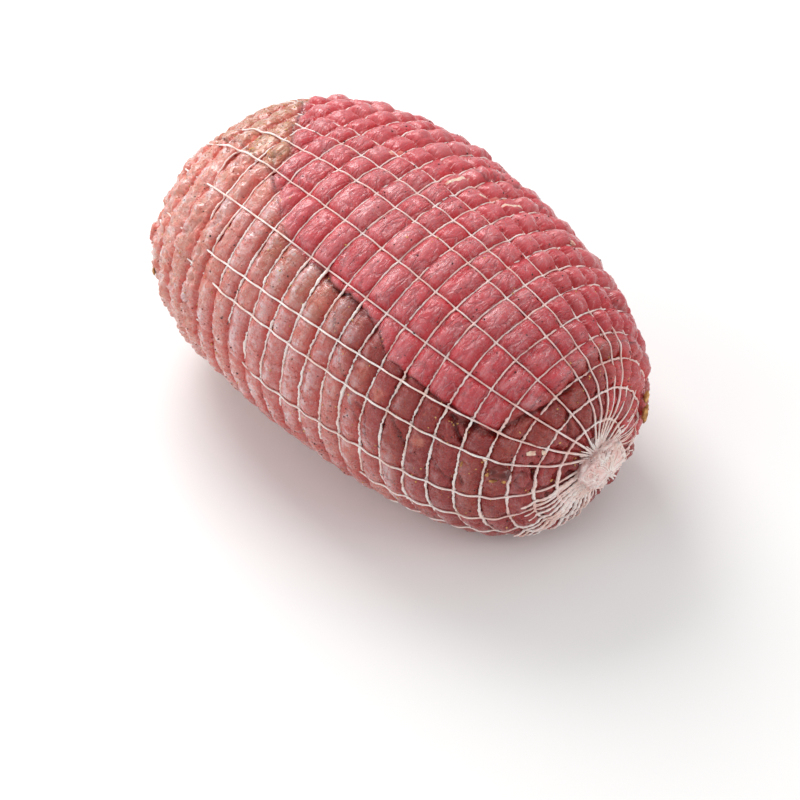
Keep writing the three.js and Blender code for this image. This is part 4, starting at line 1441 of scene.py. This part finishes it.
@dataclass
class Tuft:
    """The gathered net at one end: a lumpy core wound with threads. Sizes in millimetres."""

    body: Body
    end: int
    base: float = 1.8
    reach: float = 9.6
    droop: float = 3.0
    stretch: float = 0.6
    stretch_angle: float = 16.0
    outline: Line = ((-0.2, 6.6), (0.04, 6.0), (0.26, 5.8), (0.5, 6.7), (0.74, 6.7), (0.92, 5.0), (1.0, 0.6))
    lumps: float = 3.1
    folds: int = 90
    threads: int = 70
    loops: int = 130
    hairs: int = 40
    seed: int = 23

    def centre(self, share: Array) -> Array:
        """The tuft's middle line."""
        share = np.maximum(share, 0)
        tip = np.full_like(share, float(self.end))
        x = self.end * (self.body.half_length - self.base + share * self.reach)
        return np.stack([x, np.full_like(share, self.body.axis_side), self.body.axis(tip) - self.droop * share], axis=-1)

    def shell(self, share: Array, turn: Array, lift: Array | float = 0.0) -> Array:
        """Places on the lumpy core.

        Args:
            share: Share of the way from the meat to the tip.
            turn: Angle round the tuft, in radians.
            lift: Height above the core.

        Returns:
            Places of shape (n, 3).
        """
        place, radius = zip(*self.outline)
        flat = np.interp(share, place, radius)
        middle = self.centre(share)
        ring = np.stack([np.zeros_like(turn), np.cos(turn), np.sin(turn)], axis=-1)
        around = middle + ring * flat[..., None]
        rough = Noise(self.seed).at(around, 6.5, 3) * self.lumps
        longer = 1 + self.stretch * np.cos(turn - math.radians(self.stretch_angle)) ** 2
        reach = np.maximum(flat * longer + rough * soft_step(flat, 0.3, 4) + lift, 0.2)
        return middle + ring * reach[..., None]

    def core(self) -> tuple[Array, list[tuple[int, ...]]]:
        """The core's vertices and faces."""
        rows, sides = 34, 72
        share, turn = np.meshgrid(np.linspace(-0.2, 1, rows), np.arange(sides) * 2 * np.pi / sides, indexing="ij")
        points = self.shell(share.ravel(), turn.ravel())
        faces = []
        for r in range(rows - 1):
            for c in range(sides):
                d = (c + 1) % sides
                quad = (r * sides + c, r * sides + d, (r + 1) * sides + d, (r + 1) * sides + c)
                faces.append(quad if self.end > 0 else quad[::-1])
        last = (rows - 1) * sides
        base, tip = tuple(range(sides)), tuple(last + k for k in range(sides))
        faces += [base[::-1], tip] if self.end > 0 else [base, tip[::-1]]
        return points, faces

    def cords(self) -> list[Cord]:
        """Guide lines of thick folds, threads, loops and loose hairs on the tuft."""
        random, cords = np.random.default_rng(self.seed), []
        # Threads and loops are stained pinker towards the base: partly meat juice, partly painted pink shade where the
        # base lies in shadow
        for kind in range(self.folds + self.threads):
            thick = kind < self.folds
            share = np.linspace(random.uniform(-0.2, 0.5), random.uniform(0.45, 0.98), 18)
            waves = random.uniform(0.08, 0.3) * np.sin(share * random.uniform(8, 22) + random.uniform(0, 6))
            turn = random.uniform(0, 2 * np.pi) + random.normal(0, 0.45) * share + waves
            rise = random.uniform(-0.3, 0.5) + 0.5 * np.abs(np.sin(share * random.uniform(6, 14)))
            size = random.uniform(0.6, 1.1) if thick else random.uniform(0.25, 0.45)
            ends = np.sin(np.linspace(0.25, np.pi - 0.25, 18)) ** 0.4
            cords.append(Cord(self.shell(share, turn, rise), size * ends, stain=random.uniform(0.1, 0.7) + 0.4 * (1 - share)))
        for _ in range(self.loops):
            size, heading = random.uniform(0.08, 0.24), random.uniform(0, 2 * np.pi)
            bow = np.linspace(-1, 1, 12)
            share = random.uniform(0.1, 0.95) + size * bow * np.cos(heading)
            turn = random.uniform(0, 2 * np.pi) + 1.6 * size * bow * np.sin(heading) + 0.15 * np.sin(bow * 4)
            lift = random.uniform(0.3, 1.3) * (1 - bow**2)
            points = self.shell(np.clip(share, -0.1, 1.0), turn, lift)
            cords.append(Cord(points, np.full(12, random.uniform(0.25, 0.6)), stain=random.uniform(0.0, 0.5) + 0.3 * (1 - share)))
        for _ in range(self.hairs):
            away = np.linspace(0, 1, 5)
            share, turn = random.uniform(0.0, 1.0), random.uniform(0, 2 * np.pi)
            bend = random.normal(0, 0.25, 2)
            points = self.shell(share + bend[0] * away**2, turn + bend[1] * away**2, away * random.uniform(0.8, 2.2))
            cords.append(Cord(points, np.full(5, 0.12)))
        return cords

    def build(self, name: str, tree: bpy.types.GeometryNodeTree, material: bpy.types.Material) -> None:
        """Makes the core and its threads.

        Args:
            name: The start of the pieces' names.
            tree: The geometry nodes that make cords.
            material: The thread's finish.
        """
        points, faces = self.core()
        mesh = make_mesh(name + "_core", points, faces)
        store(mesh, "stain", np.full(len(points), 0.6))
        fit_out(show(name + "_core", mesh), material)
        values = {"Sides": 5, "Thickness": 1.0, "Finish": material}
        fit_out(run_tree(guide_object(name + "_threads", self.cords()), tree, values), material)


@dataclass(frozen=True)
class Morsel:
    """One small separate bit on the surface. Sizes are half lengths in millimetres."""

    x: float
    degrees: float
    long: float
    wide: float
    thick: float
    heading: float = 0.0
    lift: float = 0.0
    bow: float = 0.0


@dataclass
class Morsels:
    """Bits of one kind that lie on the meat, each a lumpy flattened ball."""

    body: Body
    relief: Relief
    name: str
    slot: str
    finish: SpeckFinish
    bits: tuple[Morsel, ...]
    rows: int = 14
    sides: int = 22
    lumps: float = 0.4
    seed: int = 60

    def ball(self) -> tuple[Array, list[tuple[int, ...]]]:
        """A unit ball's vertices and faces."""
        rise = np.linspace(-np.pi / 2, np.pi / 2, self.rows + 2)[1:-1]
        r, t = np.meshgrid(rise, np.arange(self.sides) * 2 * np.pi / self.sides, indexing="ij")
        shell = np.stack([np.cos(r) * np.cos(t), np.cos(r) * np.sin(t), np.sin(r)], axis=-1).reshape(-1, 3)
        points = np.concatenate([shell, [[0, 0, -1], [0, 0, 1]]])
        low, high, n = len(shell), len(shell) + 1, self.sides
        faces = [(i * n + k, i * n + (k + 1) % n, (i + 1) * n + (k + 1) % n, (i + 1) * n + k)
                 for i in range(self.rows - 1) for k in range(n)]  # fmt: skip
        last = (self.rows - 1) * n
        faces += [((k + 1) % n, k, low) for k in range(n)]
        faces += [(last + k, last + (k + 1) % n, high) for k in range(n)]
        return points, faces

    def bit(self, morsel: Morsel, ball: Array, number: int) -> Array:
        """Vertices of one bit, lying on the meat."""
        arc, degrees = np.array([self.body.arc_at(morsel.x)]), np.array([morsel.degrees])
        depth = self.relief.surface(arc, degrees).depth - morsel.lift
        centre = self.body.at_depth(arc, degrees, depth)[0]
        out = -self.body.inward(self.body.share_at(arc), degrees)[0]
        ahead = np.array([1.0, 0.0, 0.0]) - out[0] * out
        ahead /= np.linalg.norm(ahead)
        turn = math.radians(morsel.heading)
        first = math.cos(turn) * ahead + math.sin(turn) * np.cross(out, ahead)
        second = np.cross(out, first)
        uneven = 1 + self.lumps * Noise(self.seed + number).at(ball + number * 7, 0.9, 3)
        shaped = ball * uneven[:, None] * [morsel.long, morsel.wide, morsel.thick]
        shaped[:, 1] += morsel.bow * (ball[:, 0] ** 2 - 0.5)
        return centre + shaped @ np.stack([first, second, out])

    def build(self) -> None:
        """Makes all bits as one piece."""
        ball, ball_faces = self.ball()
        points = [self.bit(morsel, ball, number) for number, morsel in enumerate(self.bits)]
        faces = [tuple(v + k * len(ball) for v in f) for k in range(len(points)) for f in ball_faces]
        piece = show(self.name, make_mesh(self.name, np.concatenate(points), faces))
        fit_out(piece, self.finish.build(self.name + "_finish"))


@dataclass(frozen=True)
class Grains:
    """One kind of seasoning: how dense it lies on each kind of meat, and its sizes in millimetres."""

    name: str
    finish: SpeckFinish
    smallest: float
    largest: float
    per_square_cm: float
    on_red: float
    on_pale: float
    on_brown: float
    on_seasoned: float
    in_grooves: float
    clumping: float
    seed: int
    sides: int = 7

    def density(self, surface: Surface, place: Array) -> Array:
        """How dense the grains lie at each place, against the full number."""
        shares = surface.shares
        pale = np.clip(1 - shares.red - shares.brown - shares.seasoned, 0, 1)
        base = shares.red * self.on_red + shares.brown * self.on_brown
        base = base + shares.seasoned * self.on_seasoned + pale * self.on_pale
        patches = soft_step(Noise(self.seed).at(place, 9, 2), self.clumping - 0.5, self.clumping + 0.5)
        edges = 1 + self.in_grooves * (bell(surface.hollow - 0.35, 0.3) + 0.8 * np.clip(surface.gap + shares.slit, 0, 1))
        return base * edges * (0.25 + 1.5 * patches)


@dataclass
class Seasoning:
    """Pepper, crumbs and spice, scattered over the whole roll."""

    body: Body
    relief: Relief
    kinds: tuple[Grains, ...]
    step: float = 1.6
    columns: int = 260

    def surface_object(self, kind: Grains) -> bpy.types.Object:
        """A stand-in for the roll's surface, which carries the density of one kind."""
        rows = np.arange(7.0, self.body.length - 4, self.step)
        angles = 360 * np.arange(self.columns) / self.columns
        arc, degrees = (a.ravel() for a in np.meshgrid(rows, angles, indexing="ij"))
        surface = self.relief.surface(arc, degrees)
        points = self.body.at_depth(arc, degrees, surface.depth)
        r, c = (a.ravel() for a in np.meshgrid(np.arange(len(rows) - 1), np.arange(self.columns), indexing="ij"))
        count, d = self.columns, (c + 1) % self.columns
        quads = np.stack([r * count + c, (r + 1) * count + c, (r + 1) * count + d, r * count + d], axis=1)
        mesh = make_mesh(kind.name, points, quads.tolist())
        dry = points[:, 2] > 1.5
        store(mesh, "grains", kind.density(surface, self.body.unrolled(arc, degrees)) * dry)
        return show(kind.name, mesh)

    def build(self, tree: bpy.types.GeometryNodeTree) -> None:
        """Scatters each kind."""
        for kind in self.kinds:
            material = kind.finish.build(kind.name + "_finish")
            values = {
                "Grains per Area": kind.per_square_cm * 1e4,
                "Sides": kind.sides,
                "Smallest": kind.smallest * METRES,
                "Largest": kind.largest * METRES,
                "Seed": kind.seed,
                "Finish": material,
            }
            fit_out(run_tree(self.surface_object(kind), tree, values), material)


@dataclass(frozen=True)
class Studio:
    """The pale floor, soft lights and camera."""

    back: tuple[float, float] = (45.116, 45.210)
    distance: float = 1.23265
    target: tuple[float, float, float] = (-0.000475, -0.00027, 0.0)
    lens: float = 127.31
    floor_size: float = 8.0

    def build(self) -> None:
        """Makes the floor, the lights and the camera."""
        self.floor()
        self.light("key", (-0.76, 0.22, 0.82), 0.6, 9.7)
        self.light("side", (-1.05, -0.42, 0.38), 0.35, 1.5)
        self.light("fill", (-0.25, -1.0, 0.75), 0.8, 3.0)
        self.light("rim", (0.95, 0.35, 0.62), 0.5, 2.6)
        world = bpy.data.worlds.new("soft_white")
        world.use_nodes = True
        world.node_tree.nodes["Background"].inputs["Color"].default_value = (1, 1, 1, 1)
        world.node_tree.nodes["Background"].inputs["Strength"].default_value = 0.62
        bpy.context.scene.world = world
        bpy.context.scene.view_settings.view_transform = "Standard"
        self.camera()

    def floor(self) -> None:
        """Makes the floor just under the roast."""
        half = self.floor_size / 2 / METRES
        corners = np.array([[-half, -half, -0.05], [half, -half, -0.05], [half, half, -0.05], [-half, half, -0.05]])
        floor = show("floor", make_mesh("floor", corners, [(0, 1, 2, 3)]))
        material, _, _ = principled("pale_floor", Base_Color=(0.86, 0.855, 0.85, 1), Roughness=0.7)
        floor.data.materials.append(material)

    def light(self, name: str, place: Sequence[float], size: float, power: float) -> None:
        """Makes a square soft light that points at the roast.

        Args:
            name: The light's name.
            place: Where it stands, in metres.
            size: The length of its side, in metres.
            power: Its power in watts.
        """
        lamp = bpy.data.lights.new(name, "AREA")
        lamp.size, lamp.energy = size, power
        made = bpy.data.objects.new(name, lamp)
        made.location = place
        made.rotation_euler = (Vector((0, 0, 0.05)) - Vector(place)).to_track_quat("-Z", "Y").to_euler()
        bpy.context.scene.collection.objects.link(made)

    def camera(self) -> None:
        """Makes the camera at the photograph's angle."""
        turn, rise = (math.radians(a) for a in self.back)
        back = Vector((math.sin(turn) * math.cos(rise), -math.cos(turn) * math.cos(rise), math.sin(rise)))
        lens = bpy.data.cameras.new("camera")
        lens.lens, lens.sensor_width = self.lens, 36.0
        lens.clip_start, lens.clip_end = 0.05, 30.0
        made = bpy.data.objects.new("camera", lens)
        made.location = Vector(self.target) + back * self.distance
        made.rotation_mode = "QUATERNION"
        made.rotation_quaternion = (-back).to_track_quat("-Z", "Y")
        bpy.context.scene.collection.objects.link(made)
        bpy.context.scene.camera = made


SEASONINGS = (
    Grains("pepper", SpeckFinish(colour("4a2a22"), colour("1c0f0d"), 0.45), 0.15, 0.42,
           1.2, 0.9, 1.0, 1.3, 1.5, 0.4, 0.0, 3),
    Grains("spice", SpeckFinish(colour("b3553a"), colour("7c3325"), 0.5), 0.14, 0.34,
           4.5, 0.1, 1.2, 0.8, 1.6, 0.6, 0.1, 4, 4),
    Grains("crumbs", SpeckFinish(colour("dfb26c"), colour("bd8240"), 0.5), 0.16, 0.46,
           2.0, 0.05, 0.4, 0.8, 1.9, 1.8, 0.4, 5),
)  # fmt: skip


def small_bits(body: Body, relief: Relief) -> list[Morsels]:
    """The bits of fat, the glossy lump and the bits of dried herb.

    Args:
        body: The roll's outermost level.
        relief: Its surface.

    Returns:
        One set for each kind.
    """
    fat = SpeckFinish(colour("ecd5c0"), colour("dca998"), 0.35, 420)
    glossy = SpeckFinish(colour("7c322c"), colour("58201b"), 0.2, 260)
    herb = SpeckFinish(colour("d39c57"), colour("9c6633"), 0.5, 420)
    return [
        Morsels(body, relief, "fat_bits", "meat_red", fat, (
            Morsel(105.2, 146.2, 2.3, 1.0, 0.7, 25, 0.1, 0.5),
            Morsel(107.6, 144.8, 1.5, 0.9, 0.7, -20, 0.2),
            Morsel(93.7, 157.8, 1.3, 0.7, 0.5, 30, 0.1),
            Morsel(53.0, 47.5, 1.4, 1.1, 0.7, 20, 0.3),
        )),
        Morsels(body, relief, "glossy_lump", "meat_brown", glossy, (
            Morsel(99.0, 161.3, 4.5, 2.9, 2.4, 10, 0.5),
        ), lumps=0.3),
        Morsels(body, relief, "herb_bits", "meat_seasoned", herb, (
            Morsel(108.3, 2.0, 4.4, 2.1, 1.1, 75, 1.5, 0.8),
            Morsel(107.0, 13.0, 2.4, 1.5, 0.9, 40, 1.2),
            Morsel(91.8, 72.8, 0.9, 0.5, 0.4, 10, 0.1),
            Morsel(-81.6, 180.5, 1.6, 1.0, 0.5, 40, 0.0),
            Morsel(-92.0, 184.0, 1.9, 1.0, 0.5, 100, 0.0, 0.5),
            Morsel(-95.0, 178.0, 1.2, 0.8, 0.5, 10, 0.0),
            Morsel(-72.2, 101.0, 1.8, 0.5, 0.35, 75, 0.05, 0.5),
            Morsel(-69.8, 106.0, 1.5, 0.6, 0.35, 40, 0.05, -0.3),
            Morsel(-61.0, 104.0, 1.3, 0.6, 0.35, 110, 0.05),
            Morsel(102.6, 163.6, 1.0, 0.6, 0.4, 80, 0.3, 0.4),
            Morsel(102.4, 156.8, 0.8, 0.5, 0.4, 110, 0.3),
            Morsel(99.6, 165.2, 1.1, 0.5, 0.4, 10, 0.2, 0.4),
            Morsel(102.6, 170.5, 1.2, 0.7, 0.5, 50, 0.1),
            Morsel(107.0, 181.0, 1.1, 0.7, 0.5, 50, 0.1),
            Morsel(110.0, 176.0, 0.9, 0.6, 0.5, 20, 0.1),
            Morsel(86.6, 163.8, 1.3, 0.5, 0.35, 90, 0.1),
            Morsel(95.6, 165.4, 1.1, 0.6, 0.45, 60, 0.2, 0.3),
            Morsel(97.6, 167.4, 1.5, 0.6, 0.45, 10, 0.2, 0.4),
            Morsel(100.6, 167.8, 1.2, 0.6, 0.45, -20, 0.2),
        )),
    ]  # fmt: skip


def main() -> None:
    """Builds the roast and its stage."""
    logging.basicConfig(level=logging.INFO, format="%(message)s")
    body = Body()
    lattice = Lattice(body)
    relief = Relief(body, lattice, Seams(body), Lobes(body))
    finish = MeatFinish()
    for meat, piece in Roll(body, relief).build().items():
        fit_out(piece, finish.build(meat.value + "_finish"), meat.value)
    thread = ThreadFinish().build("thread")
    cords = cord_tree()
    Net(body, lattice, relief).build(cords, thread)
    Tuft(body, 1).build("front_tuft", cords, thread)
    Tuft(body, -1, seed=31).build("rear_tuft", cords, thread)
    Seasoning(body, relief, SEASONINGS).build(scatter_tree())
    for bits in small_bits(body, relief):
        bits.build()
    Studio().build()


if __name__ == "__main__":
    main()
